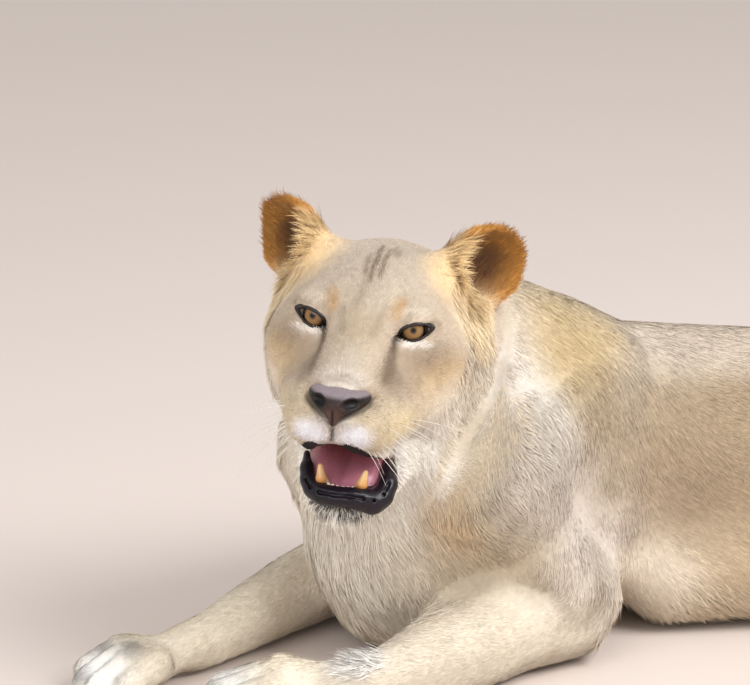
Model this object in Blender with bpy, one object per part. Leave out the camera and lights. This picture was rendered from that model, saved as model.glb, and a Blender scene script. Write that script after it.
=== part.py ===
"""A lioness lying on her chest, head low and turned, mouth open in a pant.

The flesh is shaped as one piece of clay: bones and muscles are round cones, ellipsoids and tubes
that melt into each other on a grid of distances. The clay is then skinned, thinned to few faces
and parted with thin cuts into head, jaw, ears, neck, chest, belly, legs, paws and tail.
Metres, +Z up, floor at z = 0. +X runs from her head to her rump, and her left side faces -Y.
"""
import math

import bmesh
import bpy
import numpy as np
import openvdb
from mathutils import Matrix, Vector

# ---------------------------------------------------------------- driving sizes
GAP = 0.00035              # clearance left by a cut between two pieces
FINE_VOXEL = 0.003         # grid of the head
COARSE_VOXEL = 0.0055      # grid of the body
HEAD_FACES = 1520
BODY_FACES = 1550

EYE_SPACING = 0.110        # between the pupils
EYE_RADIUS = 0.0185
GAPE = math.radians(19)    # how far the lower jaw hangs open
HEAD_YAW = math.radians(10)      # her face turns this much from -Y towards -X
HEAD_PITCH = math.radians(-4)    # negative lifts the nose
HEAD_ROLL = math.radians(-6)     # crown leans towards her left
JAW_ASIDE = 0.007          # the slack jaw hangs a little to her left
EAR_ASIDE = {1: 0.111, -1: 0.117}    # left and right ear, from the middle of the head

# ---------------------------------------------------------------- where the joints lie
EYES = Vector((-0.013, -0.173, 0.413))           # midway between the pupils
CHEST_HEADING = Vector((-0.62, -0.785, 0)).normalized()
CHEST_LEFT = Vector((-CHEST_HEADING.y, CHEST_HEADING.x, 0))
CHEST_MIDDLE = Vector((0.105, 0.03, 0))          # on the floor, midway between the elbows

ELBOW = {"left": Vector((0.214, -0.060, 0.062)), "right": Vector((0.000, 0.165, 0.058))}
WRIST = {"left": Vector((-0.010, -0.262, 0.035)), "right": Vector((-0.197, -0.108, 0.031))}
TOES = {"left": Vector((-0.165, -0.238, 0.028)), "right": Vector((-0.305, -0.200, 0.024))}

HIP = {"left": Vector((1.010, 0.160, 0.225)), "right": Vector((0.97, 0.25, 0.12))}
KNEE = {"left": Vector((0.800, -0.030, 0.188)), "right": Vector((0.67, 0.05, 0.064))}
HOCK = {"left": Vector((1.065, -0.155, 0.040)), "right": Vector((0.712, -0.205, 0.036))}
HIND_TOES = {"left": Vector((0.868, -0.275, 0.024)), "right": Vector((0.500, -0.285, 0.024))}

# The trunk's middle line, from the breast to the rump: place, half width, half height.
TRUNK = (
    (Vector((0.020, -0.050, 0.190)), 0.100, 0.120),   # breast
    (Vector((0.080, 0.010, 0.205)), 0.132, 0.170),
    (Vector((0.160, 0.085, 0.196)), 0.155, 0.180),    # withers
    (Vector((0.260, 0.150, 0.176)), 0.165, 0.166),
    (Vector((0.420, 0.190, 0.160)), 0.174, 0.160),    # last ribs
    (Vector((0.580, 0.200, 0.158)), 0.160, 0.157),    # belly
    (Vector((0.740, 0.208, 0.162)), 0.148, 0.160),    # loin
    (Vector((0.900, 0.215, 0.166)), 0.146, 0.160),    # croup
    (Vector((1.020, 0.220, 0.158)), 0.128, 0.142),
    (Vector((1.100, 0.225, 0.150)), 0.080, 0.092),    # tail head
)
# The tail's middle line and radius.
TAIL = (
    (Vector((1.06, 0.230, 0.190)), 0.050),
    (Vector((1.14, 0.228, 0.135)), 0.036),
    (Vector((1.24, 0.205, 0.050)), 0.027),
    (Vector((1.35, 0.130, 0.022)), 0.023),
    (Vector((1.42, 0.000, 0.019)), 0.021),
    (Vector((1.41, -0.140, 0.018)), 0.020),
    (Vector((1.33, -0.250, 0.020)), 0.022),
    (Vector((1.25, -0.310, 0.026)), 0.030),
    (Vector((1.20, -0.335, 0.020)), 0.016),
)


# ---------------------------------------------------------------- clay
class Frame:
    """A place with three axes. Points given in it are (forward, left, up)."""

    def __init__(self, origin, forward, left, up):
        self.origin = Vector(origin)
        self.axes = [Vector(forward), Vector(left), Vector(up)]

    def __call__(self, forward, left, up):
        return self.origin + self.axes[0] * forward + self.axes[1] * left + self.axes[2] * up

    def turned(self, pivot, angle):
        """This frame swung about a left-right axis through pivot, nose down for a positive angle."""
        swing = Matrix.Rotation(angle, 3, self.axes[1])
        return Frame(pivot + swing @ (self.origin - pivot), *(swing @ axis for axis in self.axes))


class Clay:
    """Distances to one growing body, on a grid between two corners."""

    MARGIN = 0.08

    def __init__(self, low, high, voxel):
        self.voxel = voxel
        self.low = np.array(low, float)
        counts = np.ceil((np.array(high) - self.low) / voxel).astype(int) + 1
        self.field = np.full(counts, 1.0, np.float32)
        self.ticks = [(self.low[i] + np.arange(counts[i]) * voxel).astype(np.float32) for i in range(3)]

    def window(self, low, high):
        """The part of the grid within the margin of a box, as slices and coordinates."""
        spans = []
        for i in range(3):
            first = np.searchsorted(self.ticks[i], low[i] - self.MARGIN)
            last = np.searchsorted(self.ticks[i], high[i] + self.MARGIN)
            spans.append(slice(int(first), int(last)))
        x, y, z = (self.ticks[i][spans[i]] for i in range(3))
        return tuple(spans), (x[:, None, None], y[None, :, None], z[None, None, :])

    def add(self, shape, blend):
        """Melts a shape in, rounding the join over about the blend distance."""
        spans, points = self.window(shape.low, shape.high)
        old = self.field[spans]
        if old.size:
            new = shape.distance(points)
            bridge = np.maximum(blend - np.abs(old - new), 0) / blend
            self.field[spans] = np.minimum(old, new) - bridge * bridge * blend / 4

    def cut(self, shape, blend):
        """Carves a shape out, rounding the rim over about the blend distance."""
        spans, points = self.window(shape.low, shape.high)
        old = self.field[spans]
        if old.size:
            new = -shape.distance(points)
            bridge = np.maximum(blend - np.abs(old - new), 0) / blend
            self.field[spans] = np.maximum(old, new) + bridge * bridge * blend / 4

    def skinned(self, name, faces):
        """A mesh object of the clay's surface, thinned to about this many triangles."""
        grid = openvdb.FloatGrid(1.0)
        grid.copyFromArray(self.field)
        points, quads = grid.convertToQuads(isovalue=0.0)
        mesh = bpy.data.meshes.new(name)
        mesh.from_pydata((points * self.voxel + self.low).tolist(), [], quads.tolist())
        obj = bpy.data.objects.new(name, mesh)
        bpy.context.scene.collection.objects.link(obj)
        keep_largest(mesh)
        if mesh_volume(mesh) < 0:
            mesh.flip_normals()
        smooth = obj.modifiers.new("Smooth", "SMOOTH")
        smooth.factor, smooth.iterations = 0.5, 3
        thin = obj.modifiers.new("Thin", "DECIMATE")
        thin.ratio = min(1.0, faces / (2 * len(mesh.polygons)))
        thin.use_collapse_triangulate = True
        return applied(obj)


class RoundCone:
    """A bone or muscle that tapers from one ball to another."""

    def __init__(self, start, end, start_radius, end_radius):
        self.start, self.end = Vector(start), Vector(end)
        self.radii = start_radius, end_radius
        most = max(self.radii)
        self.low = [min(self.start[i], self.end[i]) - most for i in range(3)]
        self.high = [max(self.start[i], self.end[i]) + most for i in range(3)]

    def distance(self, points):
        along = self.end - self.start
        offsets = [points[i] - self.start[i] for i in range(3)]
        share = sum(offsets[i] * along[i] for i in range(3)) / max(along.length_squared, 1e-12)
        share = np.clip(share, 0, 1)
        gap = np.sqrt(sum((offsets[i] - along[i] * share) ** 2 for i in range(3)))
        return gap - (self.radii[0] + (self.radii[1] - self.radii[0]) * share)


class Egg:
    """An ellipsoid with its half sizes along a frame's forward, left and up axes."""

    def __init__(self, centre, half_sizes, frame, tilt=0.0, turn=0.0):
        self.centre, self.half = Vector(centre), half_sizes
        swing = Matrix.Rotation(turn, 3, frame.axes[2]) @ Matrix.Rotation(tilt, 3, frame.axes[1])
        self.axes = [swing @ axis for axis in frame.axes]
        most = max(half_sizes)
        self.low = [c - most for c in self.centre]
        self.high = [c + most for c in self.centre]

    def distance(self, points):
        offsets = [points[i] - self.centre[i] for i in range(3)]
        local = [sum(offsets[i] * axis[i] for i in range(3)) for axis in self.axes]
        scaled = np.sqrt(sum((local[i] / self.half[i]) ** 2 for i in range(3)))
        slope = np.sqrt(sum((local[i] / self.half[i] ** 2) ** 2 for i in range(3)))
        return scaled * (scaled - 1) / np.maximum(slope, 1e-6)


class Barrel:
    """A tube with an elliptical section that follows stations of (place, half width, half height)."""

    STEPS = 5

    def __init__(self, stations):
        places = catmull([s[0] for s in stations], self.STEPS)
        widths = catmull([Vector((s[1], s[2], 0)) for s in stations], self.STEPS)
        self.rings = list(zip(places, [w.x for w in widths], [w.y for w in widths]))
        most = max(max(s[1], s[2]) for s in stations)
        self.low = [min(p[i] for p in places) - most for i in range(3)]
        self.high = [max(p[i] for p in places) + most for i in range(3)]

    def distance(self, points):
        best = None
        for (a, wide_a, high_a), (b, wide_b, high_b) in zip(self.rings, self.rings[1:]):
            along = (b - a).normalized()
            left = Vector((0, 0, 1)).cross(along).normalized()
            up = along.cross(left)
            offsets = [points[i] - a[i] for i in range(3)]
            ahead = sum(offsets[i] * along[i] for i in range(3))
            share = np.clip(ahead / (b - a).length, 0, 1)
            wide = wide_a + (wide_b - wide_a) * share
            high = high_a + (high_b - high_a) * share
            beyond = ahead - share * (b - a).length
            sideways = sum(offsets[i] * left[i] for i in range(3))
            upwards = sum(offsets[i] * up[i] for i in range(3))
            scaled = np.sqrt((sideways / wide) ** 2 + (upwards / high) ** 2 + (beyond / wide) ** 2)
            found = (scaled - 1) * np.minimum(wide, high)
            best = found if best is None else np.minimum(best, found)
        return best


class Mouth:
    """The open mouth: a wedge between the arched upper lip and the floor of the lower jaw."""

    def __init__(self):
        self.low = [c - 0.13 for c in HEAD(0.04, 0, -0.13)]
        self.high = [c + 0.13 for c in HEAD(0.04, 0, -0.13)]

    def distance(self, points):
        ahead, aside, up = local(HEAD, points)
        jaw_ahead, jaw_aside, jaw_up = local(JAW, points)
        roof = up + 0.101 + 14 * aside ** 2 + 0.25 * np.maximum(0.02 - ahead, 0)
        rim = -0.097 - 0.012 * np.clip((0.088 - jaw_ahead) / 0.02, 0, 1)
        floor = rim - jaw_up
        room = np.interp(ahead, (-0.06, -0.02, 0.03, 0.06), (0.020, 0.034, 0.050, 0.047))
        wall = np.abs(jaw_aside) - room
        back = -0.045 - ahead
        return np.maximum(np.maximum(roof, floor), np.maximum(wall, back)) * 0.9


def local(frame, points):
    """Grid coordinates turned into a frame's (forward, left, up)."""
    offsets = [points[i] - frame.origin[i] for i in range(3)]
    return [sum(offsets[i] * axis[i] for i in range(3)) for axis in frame.axes]


def catmull(points, steps):
    """Points along a smooth curve through the given ones, steps to each stretch."""
    ends = [points[0] * 2 - points[1], *points, points[-1] * 2 - points[-2]]
    found = []
    for i in range(1, len(ends) - 2):
        before, a, b, after = ends[i - 1:i + 3]
        for k in range(steps):
            t = k / steps
            found.append(0.5 * (a * 2 + (b - before) * t + (before * 2 - a * 5 + b * 4 - after) * t * t
                                + (a * 3 - before - b * 3 + after) * t ** 3))
    return found + [points[-1]]


# ---------------------------------------------------------------- mesh helpers
def applied(obj):
    """The object with its modifiers made part of its mesh."""
    graph = bpy.context.evaluated_depsgraph_get()
    mesh = bpy.data.meshes.new_from_object(obj.evaluated_get(graph))
    obj.modifiers.clear()
    obj.data = mesh
    return obj


def mesh_volume(mesh):
    shape = bmesh.new()
    shape.from_mesh(mesh)
    volume = shape.calc_volume(signed=True)
    shape.free()
    return volume


def islands(shape):
    """The connected sets of faces of a bmesh."""
    left, found = set(shape.faces), []
    while left:
        todo, island = [left.pop()], []
        while todo:
            face = todo.pop()
            island.append(face)
            for edge in face.edges:
                for other in edge.link_faces:
                    if other in left:
                        left.remove(other)
                        todo.append(other)
        found.append(island)
    return sorted(found, key=len, reverse=True)


def keep_largest(mesh):
    """Drops every loose crumb and inner bubble but the largest surface."""
    shape = bmesh.new()
    shape.from_mesh(mesh)
    for island in islands(shape)[1:]:
        bmesh.ops.delete(shape, geom=island, context="FACES")
    shape.to_mesh(mesh)
    shape.free()


def boolean(obj, cutter, operation):
    modifier = obj.modifiers.new("Cut", "BOOLEAN")
    modifier.operation, modifier.solver, modifier.object = operation, "EXACT", cutter
    applied(obj)


def copy_of(obj, name):
    made = bpy.data.objects.new(name, obj.data.copy())
    made.matrix_world = obj.matrix_world.copy()
    bpy.context.scene.collection.objects.link(made)
    return made


def remove(obj):
    bpy.data.objects.remove(obj, do_unlink=True)


def swollen(obj, amount):
    """A copy whose surface is moved out by this much, to cut a seat with clearance."""
    made = copy_of(obj, obj.name + "_cutter")
    shape = bmesh.new()
    shape.from_mesh(made.data)
    shape.normal_update()
    for vertex in shape.verts:
        vertex.co += vertex.normal * amount
    shape.to_mesh(made.data)
    shape.free()
    return made


def part_off(body, cutter, name):
    """Cuts what lies inside the cutter off the body as a new object, and leaves a thin gap."""
    piece = copy_of(body, name)
    boolean(piece, cutter, "INTERSECT")
    keep_largest(piece.data)
    seat = swollen(cutter, GAP)
    boolean(body, seat, "DIFFERENCE")
    keep_largest(body.data)
    remove(seat)
    remove(cutter)
    return piece


def hollow(host, cutter):
    """Cuts a cutter's shape out of its host and throws the cutter away."""
    boolean(host, cutter, "DIFFERENCE")
    keep_largest(host.data)
    remove(cutter)


def seat_in(host, insert):
    """Cuts room for an inserted piece, such as an eye, out of its host."""
    hollow(host, swollen(insert, GAP))


def ball_cutter(centre, half_sizes, forward):
    """An ellipsoid cutter whose first half size lies along forward."""
    forward = Vector(forward).normalized()
    left = Vector((0, 0, 1)).cross(forward).normalized()
    turn = Matrix((forward, left, forward.cross(left))).transposed().to_4x4()
    shape = bmesh.new()
    place = Matrix.Translation(Vector(centre)) @ turn @ Matrix.Diagonal((*half_sizes, 1))
    bmesh.ops.create_icosphere(shape, subdivisions=2, radius=1.0, matrix=place)
    return object_of(shape, "cutter")


def box_cutter(centre, half_sizes, frame):
    """A box cutter with its half sizes along a frame's forward, left and up axes."""
    turn = Matrix(frame.axes).transposed().to_4x4()
    shape = bmesh.new()
    place = Matrix.Translation(Vector(centre)) @ turn @ Matrix.Diagonal((*[2 * h for h in half_sizes], 1))
    bmesh.ops.create_cube(shape, size=1.0, matrix=place)
    return object_of(shape, "cutter")


def object_of(shape, name):
    """A new object that holds a finished bmesh."""
    bmesh.ops.recalc_face_normals(shape, faces=shape.faces)
    mesh = bpy.data.meshes.new(name)
    shape.to_mesh(mesh)
    shape.free()
    obj = bpy.data.objects.new(name, mesh)
    bpy.context.scene.collection.objects.link(obj)
    return obj


def level_with_floor(obj):
    """Cuts off what would lie under the floor, which leaves flats at z = 0 where she rests."""
    shape = bmesh.new()
    shape.from_mesh(obj.data)
    bmesh.ops.bisect_plane(shape, geom=[*shape.verts, *shape.edges, *shape.faces], dist=1e-6,
                           plane_co=(0, 0, 0), plane_no=(0, 0, 1), clear_inner=True)
    rims = [edge for edge in shape.edges if edge.is_boundary]
    bmesh.ops.edgeloop_fill(shape, edges=rims)
    bmesh.ops.recalc_face_normals(shape, faces=shape.faces)
    shape.to_mesh(obj.data)
    shape.free()


def paint(obj, name, colour, roughness):
    """Gives an object its own plain material and smooth shading."""
    material = bpy.data.materials.new(name)
    material.use_nodes = True
    surface = material.node_tree.nodes["Principled BSDF"]
    surface.inputs["Base Color"].default_value = (*colour, 1)
    surface.inputs["Roughness"].default_value = roughness
    surface.inputs["Metallic"].default_value = 0.0
    obj.data.materials.clear()
    obj.data.materials.append(material)
    obj.data.shade_smooth()
    obj.data.set_sharp_from_angle(angle=math.radians(40))


# ---------------------------------------------------------------- frames of the body
def head_frame():
    """Origin midway between the pupils, forward along the muzzle."""
    forward = Vector((-math.sin(HEAD_YAW), -math.cos(HEAD_YAW), 0))
    left = Vector((math.cos(HEAD_YAW), -math.sin(HEAD_YAW), 0))
    up = Vector((0, 0, 1))
    nod = Matrix.Rotation(HEAD_PITCH, 3, left)
    forward, up = nod @ forward, nod @ up
    lean = Matrix.Rotation(HEAD_ROLL, 3, forward)
    return Frame(EYES, forward, lean @ left, lean @ up)


HEAD = head_frame()
JAW_HINGE = HEAD(-0.145, 0, -0.055)
JAW = HEAD.turned(JAW_HINGE, GAPE)
JAW.origin += JAW.axes[1] * JAW_ASIDE
CHEST = Frame(CHEST_MIDDLE, CHEST_HEADING, CHEST_LEFT, (0, 0, 1))
SIDES = (("left", 1), ("right", -1))


def eye_frame(side):
    """Looks ahead and a little outwards from the eyeball's centre."""
    out = math.radians(14) * side
    turn = Matrix.Rotation(out, 3, HEAD.axes[2])
    axes = [turn @ axis for axis in HEAD.axes]
    pupil = HEAD(0, side * EYE_SPACING / 2, 0)
    return Frame(pupil - axes[0] * EYE_RADIUS, *axes)


def ear_frame(side):
    """Origin in the middle of the ear's cup; forward looks out of the cup."""
    up = (HEAD.axes[2] * 0.93 + HEAD.axes[1] * side * 0.36 - HEAD.axes[0] * 0.05).normalized()
    look = HEAD.axes[0] * 0.80 + HEAD.axes[1] * side * 0.58 + HEAD.axes[2] * 0.12
    look = (look - up * look.dot(up)).normalized()
    return Frame(HEAD(-0.120, side * EAR_ASIDE[side], 0.058), look, up.cross(look), up)


# ---------------------------------------------------------------- the flesh
def add_skull(clay):
    clay.add(Egg(HEAD(-0.112, 0, -0.004), (0.106, 0.088, 0.074), HEAD), 0.02)      # braincase
    clay.add(Egg(HEAD(-0.062, 0, 0.012), (0.064, 0.072, 0.046), HEAD, 0.22), 0.03)  # forehead
    clay.add(Egg(HEAD(-0.155, 0, -0.010), (0.075, 0.086, 0.074), HEAD), 0.03)      # nape
    clay.add(RoundCone(HEAD(-0.030, 0, -0.016), HEAD(0.092, 0, -0.071), 0.044, 0.037), 0.03)  # nose bridge
    for _, side in SIDES:
        clay.add(Egg(HEAD(-0.026, side * 0.050, 0.010), (0.020, 0.026, 0.014), HEAD), 0.022)   # brow
        clay.add(Egg(HEAD(-0.060, side * 0.072, -0.036), (0.060, 0.042, 0.046), HEAD), 0.03)   # cheekbone
        clay.add(Egg(HEAD(-0.095, side * 0.066, -0.072), (0.068, 0.044, 0.058), HEAD), 0.03)   # jaw muscle
        clay.add(Egg(HEAD(-0.120, side * 0.084, -0.045), (0.052, 0.040, 0.070), HEAD), 0.03)   # cheek ruff


def add_muzzle(clay):
    clay.add(Egg(HEAD(0.088, 0, -0.074), (0.036, 0.034, 0.028), HEAD), 0.015)
    for _, side in SIDES:
        clay.add(Egg(HEAD(0.080, side * 0.028, -0.091), (0.044, 0.029, 0.033), HEAD, 0.0, side * 0.15), 0.012)
        pad = HEAD(0.030, side * 0.035, -0.086)
        clay.add(Egg(pad, (0.062, 0.027, 0.040), HEAD, 0.10, -side * 0.06), 0.018)
        lip, cheek = HEAD(0.052, side * 0.036, -0.088), HEAD(-0.040, side * 0.070, -0.078)
        clay.add(RoundCone(lip, cheek, 0.026, 0.040), 0.03)


UPPER_LIP = (
    (0.050, -0.0390, -0.1340, 0.006), (0.075, -0.0279, -0.1228, 0.008), (0.098, -0.0151, -0.1108, 0.009),
    (0.110, -0.0023, -0.1000, 0.007), (0.098, 0.0091, -0.1071, 0.009), (0.084, 0.0202, -0.1147, 0.010),
    (0.068, 0.0320, -0.1205, 0.010), (0.048, 0.0422, -0.1273, 0.008), (0.022, 0.0496, -0.1370, 0.006),
)


def add_upper_lip(clay):
    """The rim of the lip that hangs under the muzzle, from her right corner to her left."""
    for a, b in zip(UPPER_LIP, UPPER_LIP[1:]):
        clay.add(RoundCone(HEAD(*a[:3]), HEAD(*b[:3]), a[3], b[3]), 0.008)


def add_jaw(clay):
    """The mandible, shaped in the frame of the open jaw."""
    clay.add(Egg(JAW(0.062, 0, -0.113), (0.040, 0.042, 0.023), JAW), 0.012)       # chin
    for _, side in SIDES:
        front, back = JAW(0.060, side * 0.022, -0.111), JAW(-0.080, side * 0.058, -0.098)
        clay.add(RoundCone(front, back, 0.022, 0.034), 0.015)
    clay.add(Egg(JAW(-0.020, 0, -0.120), (0.080, 0.046, 0.026), JAW), 0.02)       # floor of the mouth
    clay.add(Egg(JAW(-0.085, 0, -0.100), (0.070, 0.070, 0.046), JAW), 0.03)       # throat


def add_ears(clay):
    for _, side in SIDES:
        ear = ear_frame(side)
        foot = ear(-0.012, -side * 0.008, -0.012)
        clay.add(RoundCone(HEAD(-0.105, side * 0.070, 0.035), foot, 0.036, 0.030), 0.03)
        clay.add(Egg(ear(-0.008, 0, 0), (0.026, 0.050, 0.050), ear), 0.018)
        clay.cut(Egg(ear(0.017, 0, 0.002), (0.036, 0.042, 0.043), ear), 0.008)


def carve_eyes(clay):
    for _, side in SIDES:
        eye = eye_frame(side)
        clay.add(Egg(eye(0.002, 0, 0.011), (0.020, 0.026, 0.013), eye), 0.012)     # upper lid
        clay.add(Egg(eye(0.000, 0, -0.012), (0.020, 0.025, 0.012), eye), 0.012)    # lower lid
        clay.cut(Egg(eye(0.020, 0, 0.000), (0.014, 0.019, 0.0092), eye), 0.004)


def add_neck(clay):
    clay.add(RoundCone(HEAD(-0.150, 0, -0.025), (0.080, 0.035, 0.322), 0.082, 0.108), 0.04)
    clay.add(RoundCone(HEAD(-0.125, 0, -0.085), (0.055, -0.030, 0.245), 0.074, 0.118), 0.05)
    clay.add(RoundCone((0.080, 0.035, 0.325), (0.150, 0.085, 0.265), 0.100, 0.125), 0.06)   # nape to withers


def add_trunk(clay):
    clay.add(Barrel(TRUNK), 0.05)
    clay.add(Egg((0.012, -0.060, 0.125), (0.070, 0.092, 0.085), CHEST), 0.05)      # breast fur
    clay.add(Egg((0.040, -0.010, 0.060), (0.090, 0.080, 0.064), CHEST), 0.05)      # breast on the floor
    for aside in (-0.105, 0.085):                                                  # slack belly
        front, back = (0.340, 0.175 + aside, 0.076), (0.660, 0.205 + aside * 0.9, 0.074)
        clay.add(RoundCone(front, back, 0.079, 0.077), 0.03)


def across_chest(point):
    """The matching point on the other, more drawn-in side of the chest."""
    aside = (point - CHEST_MIDDLE).dot(CHEST_LEFT)
    return point - CHEST_LEFT * (1.72 * aside)


def add_shoulder(clay, name):
    """Shoulder blade, upper arm and the muscle behind it."""
    def place(x, y, z):
        point = Vector((x, y, z))
        return point if name == "left" else across_chest(point)
    joint = place(0.128, -0.135, 0.235)
    elbow = ELBOW[name]
    clay.add(RoundCone(joint, place(0.175, 0.045, 0.350), 0.058, 0.038), 0.04)     # front edge of the blade
    clay.add(RoundCone(joint, place(0.240, 0.052, 0.292), 0.058, 0.050), 0.05)     # back edge of the blade
    clay.add(RoundCone(joint, elbow + Vector((-0.010, -0.015, 0.015)), 0.062, 0.056), 0.04)    # upper arm
    clay.add(RoundCone(place(0.230, 0.028, 0.230), elbow + Vector((0.014, 0.025, 0.015)), 0.052, 0.042), 0.04)


def add_foreleg(clay, name):
    elbow, wrist, toes = ELBOW[name], WRIST[name], TOES[name]
    point = elbow + (elbow - wrist).normalized() * 0.030
    belly = elbow.lerp(wrist, 0.50)
    girth = 0.053 if name == "left" else 0.045
    clay.add(RoundCone(point, elbow, 0.036, 0.057), 0.02)
    clay.add(RoundCone(elbow, belly, 0.060, girth), 0.02)
    clay.add(RoundCone(belly, wrist, girth, 0.035 if name == "left" else 0.032), 0.01)
    add_paw(clay, wrist, toes, 0.035 if name == "left" else 0.031, 0.050)
    if name == "left":
        tuft = (-0.092, -0.250, 0.052), (-0.108, -0.252, 0.080)
        clay.add(RoundCone(*tuft, 0.018, 0.007), 0.01)


def add_paw(clay, ankle, toes, thick, spread):
    """A paw with four toes, from the ankle or wrist to the toe tips."""
    ahead = (toes - ankle).normalized()
    aside = Vector((0, 0, 1)).cross(ahead).normalized()
    up = ahead.cross(aside)
    frame = Frame(toes, ahead, aside, up)
    length = (toes - ankle).length
    palm = ankle.lerp(toes, 0.58)
    clay.add(RoundCone(ankle, palm, thick * 0.95, thick * 0.92), 0.015)
    clay.add(Egg(palm, (length * 0.34, spread * 0.88, thick * 0.90), frame), 0.012)
    for step, reach in ((-1.5, -0.022), (-0.5, 0.0), (0.5, 0.0), (1.5, -0.022)):
        knuckle = frame(reach - 0.045, step * spread * 0.43, 0.006)
        tip = frame(reach, step * spread * 0.47, -0.006)
        clay.add(RoundCone(knuckle, tip, 0.0215, 0.0185), 0.008)


def add_hind_leg(clay, name):
    hip, knee, hock, toes = HIP[name], KNEE[name], HOCK[name], HIND_TOES[name]
    rump = hip + Vector((0.005, 0.015, -0.035))
    full = 1.0 if name == "left" else 0.82                           # the lower thigh is half buried
    clay.add(RoundCone(rump, hip.lerp(knee, 0.55), 0.128 * full, 0.118 * full), 0.05)
    clay.add(RoundCone(hip.lerp(knee, 0.55), knee, 0.118 * full, 0.076 * full), 0.03)
    clay.add(RoundCone(rump, hip.lerp(hock, 0.60), 0.105 * full, 0.056), 0.04)     # ham
    clay.add(RoundCone(knee, knee.lerp(hock, 0.40), 0.068 * full, 0.060), 0.02)
    clay.add(RoundCone(knee.lerp(hock, 0.40), hock, 0.060, 0.035), 0.015)
    heel = hock + (hock - toes).normalized() * 0.014
    clay.add(RoundCone(heel, hock.lerp(toes, 0.5), 0.036, 0.036), 0.012)
    add_paw(clay, hock.lerp(toes, 0.32), toes, 0.038, 0.046)


def add_tail(clay):
    places = catmull([place for place, _ in TAIL], 4)
    radii = [v.x for v in catmull([Vector((radius, 0, 0)) for _, radius in TAIL], 4)]
    for (a, ra), (b, rb) in zip(zip(places, radii), zip(places[1:], radii[1:])):
        clay.add(RoundCone(a, b, ra, rb), 0.008)


def fill_with_flesh(clay):
    add_trunk(clay)
    add_neck(clay)
    for name, _ in SIDES:
        add_shoulder(clay, name)
        add_hind_leg(clay, name)
    add_tail(clay)
    for name in ("right", "left"):
        add_foreleg(clay, name)
    add_skull(clay)
    add_muzzle(clay)
    add_jaw(clay)
    clay.cut(Mouth(), 0.008)
    add_upper_lip(clay)
    add_ears(clay)
    carve_eyes(clay)
    return clay


# ---------------------------------------------------------------- separate pieces of the head
def make_eye(name, side):
    shape = bmesh.new()
    eye = eye_frame(side)
    turn = Matrix((eye.axes[1], eye.axes[2], eye.axes[0])).transposed().to_4x4()
    place = Matrix.Translation(eye.origin) @ turn
    bmesh.ops.create_uvsphere(shape, u_segments=12, v_segments=8, radius=EYE_RADIUS, matrix=place)
    return object_of(shape, "eye_" + name)


def small_clay(middle, reach, voxel):
    return Clay(middle - Vector((reach,) * 3), middle + Vector((reach,) * 3), voxel)


def make_nose(name, room=0.0):
    """The bare leather between and around the nostrils, or a cutter that leaves room for it."""
    clay = small_clay(HEAD(0.11, 0, -0.065), 0.07, 0.0016)
    clay.add(Egg(HEAD(0.110, 0, -0.062), (0.025, 0.024, 0.015), HEAD, 0.25), 0.004)
    for _, side in SIDES:
        wing = HEAD(0.106, side * 0.0195, -0.062)
        clay.add(Egg(wing, (0.022, 0.0108, 0.012), HEAD, 0.15, -side * 0.55), 0.008)
    clay.add(RoundCone(HEAD(0.119, 0, -0.068), HEAD(0.122, 0, -0.082), 0.014, 0.006), 0.008)
    if room:
        clay.field -= room
        return clay.skinned(name, 300)
    for _, side in SIDES:
        nostril = HEAD(0.130, side * 0.018, -0.066)
        clay.cut(Egg(nostril, (0.013, 0.0075, 0.0052), HEAD, 0.15, -side * 0.55), 0.003)
    return clay.skinned(name, 260)


def make_tongue():
    clay = small_clay(JAW(0.01, 0, -0.10), 0.12, 0.003)
    clay.add(Egg(JAW(0.005, -0.004, -0.103), (0.066, 0.038, 0.016), JAW, -0.05), 0.01)
    clay.add(Egg(JAW(0.040, -0.004, -0.100), (0.042, 0.033, 0.013), JAW, 0.12), 0.015)
    clay.cut(Egg(JAW(0.035, -0.004, -0.082), (0.070, 0.008, 0.007), JAW, 0.06), 0.008)
    return clay.skinned("tongue", 150)


def make_lower_teeth():
    """The gum arch at the front of the lower jaw, with its canines and incisors grown into it."""
    clay = small_clay(JAW(0.055, 0, -0.10), 0.075, 0.0013)
    turns = [math.radians(15 * i) for i in range(-6, 7)]
    arch = [JAW(0.052 + 0.040 * math.cos(turn), 0.0270 * math.sin(turn), -0.1035) for turn in turns]
    for a, b in zip(arch, arch[1:]):
        clay.add(RoundCone(a, b, 0.0080, 0.0080), 0.003)
    for _, side in SIDES:
        bend = JAW(0.085, side * 0.0220, -0.086)
        clay.add(RoundCone(JAW(0.080, side * 0.0190, -0.100), bend, 0.0072, 0.0060), 0.002)
        clay.add(RoundCone(bend, JAW(0.081, side * 0.0245, -0.073), 0.0060, 0.0024), 0.001)
        for aside in (0.0030, 0.0080, 0.0125):
            gum = JAW(0.0915 - aside * 0.25, side * aside, -0.097)
            clay.add(RoundCone(gum, JAW(0.0935 - aside * 0.25, side * aside, -0.0885), 0.0026, 0.0017), 0.001)
    return clay.skinned("lower_teeth", 360)


# ---------------------------------------------------------------- parting the body
def sever(body, place, along, wide, tall):
    """Cuts across a limb with a thin slab at a place, square to its run."""
    along = Vector(along).normalized()
    left = Vector((0, 0, 1)).cross(along).normalized()
    slab = box_cutter(place, (GAP / 2, wide, tall), Frame(place, along, left, along.cross(left)))
    boolean(body, slab, "DIFFERENCE")
    remove(slab)


def hull_cutter(points):
    """A closed cutter stretched round some points."""
    shape = bmesh.new()
    for point in points:
        shape.verts.new(point)
    bmesh.ops.convex_hull(shape, input=shape.verts)
    bmesh.ops.delete(shape, geom=[vertex for vertex in shape.verts if not vertex.link_faces], context="VERTS")
    return object_of(shape, "cutter")


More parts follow.
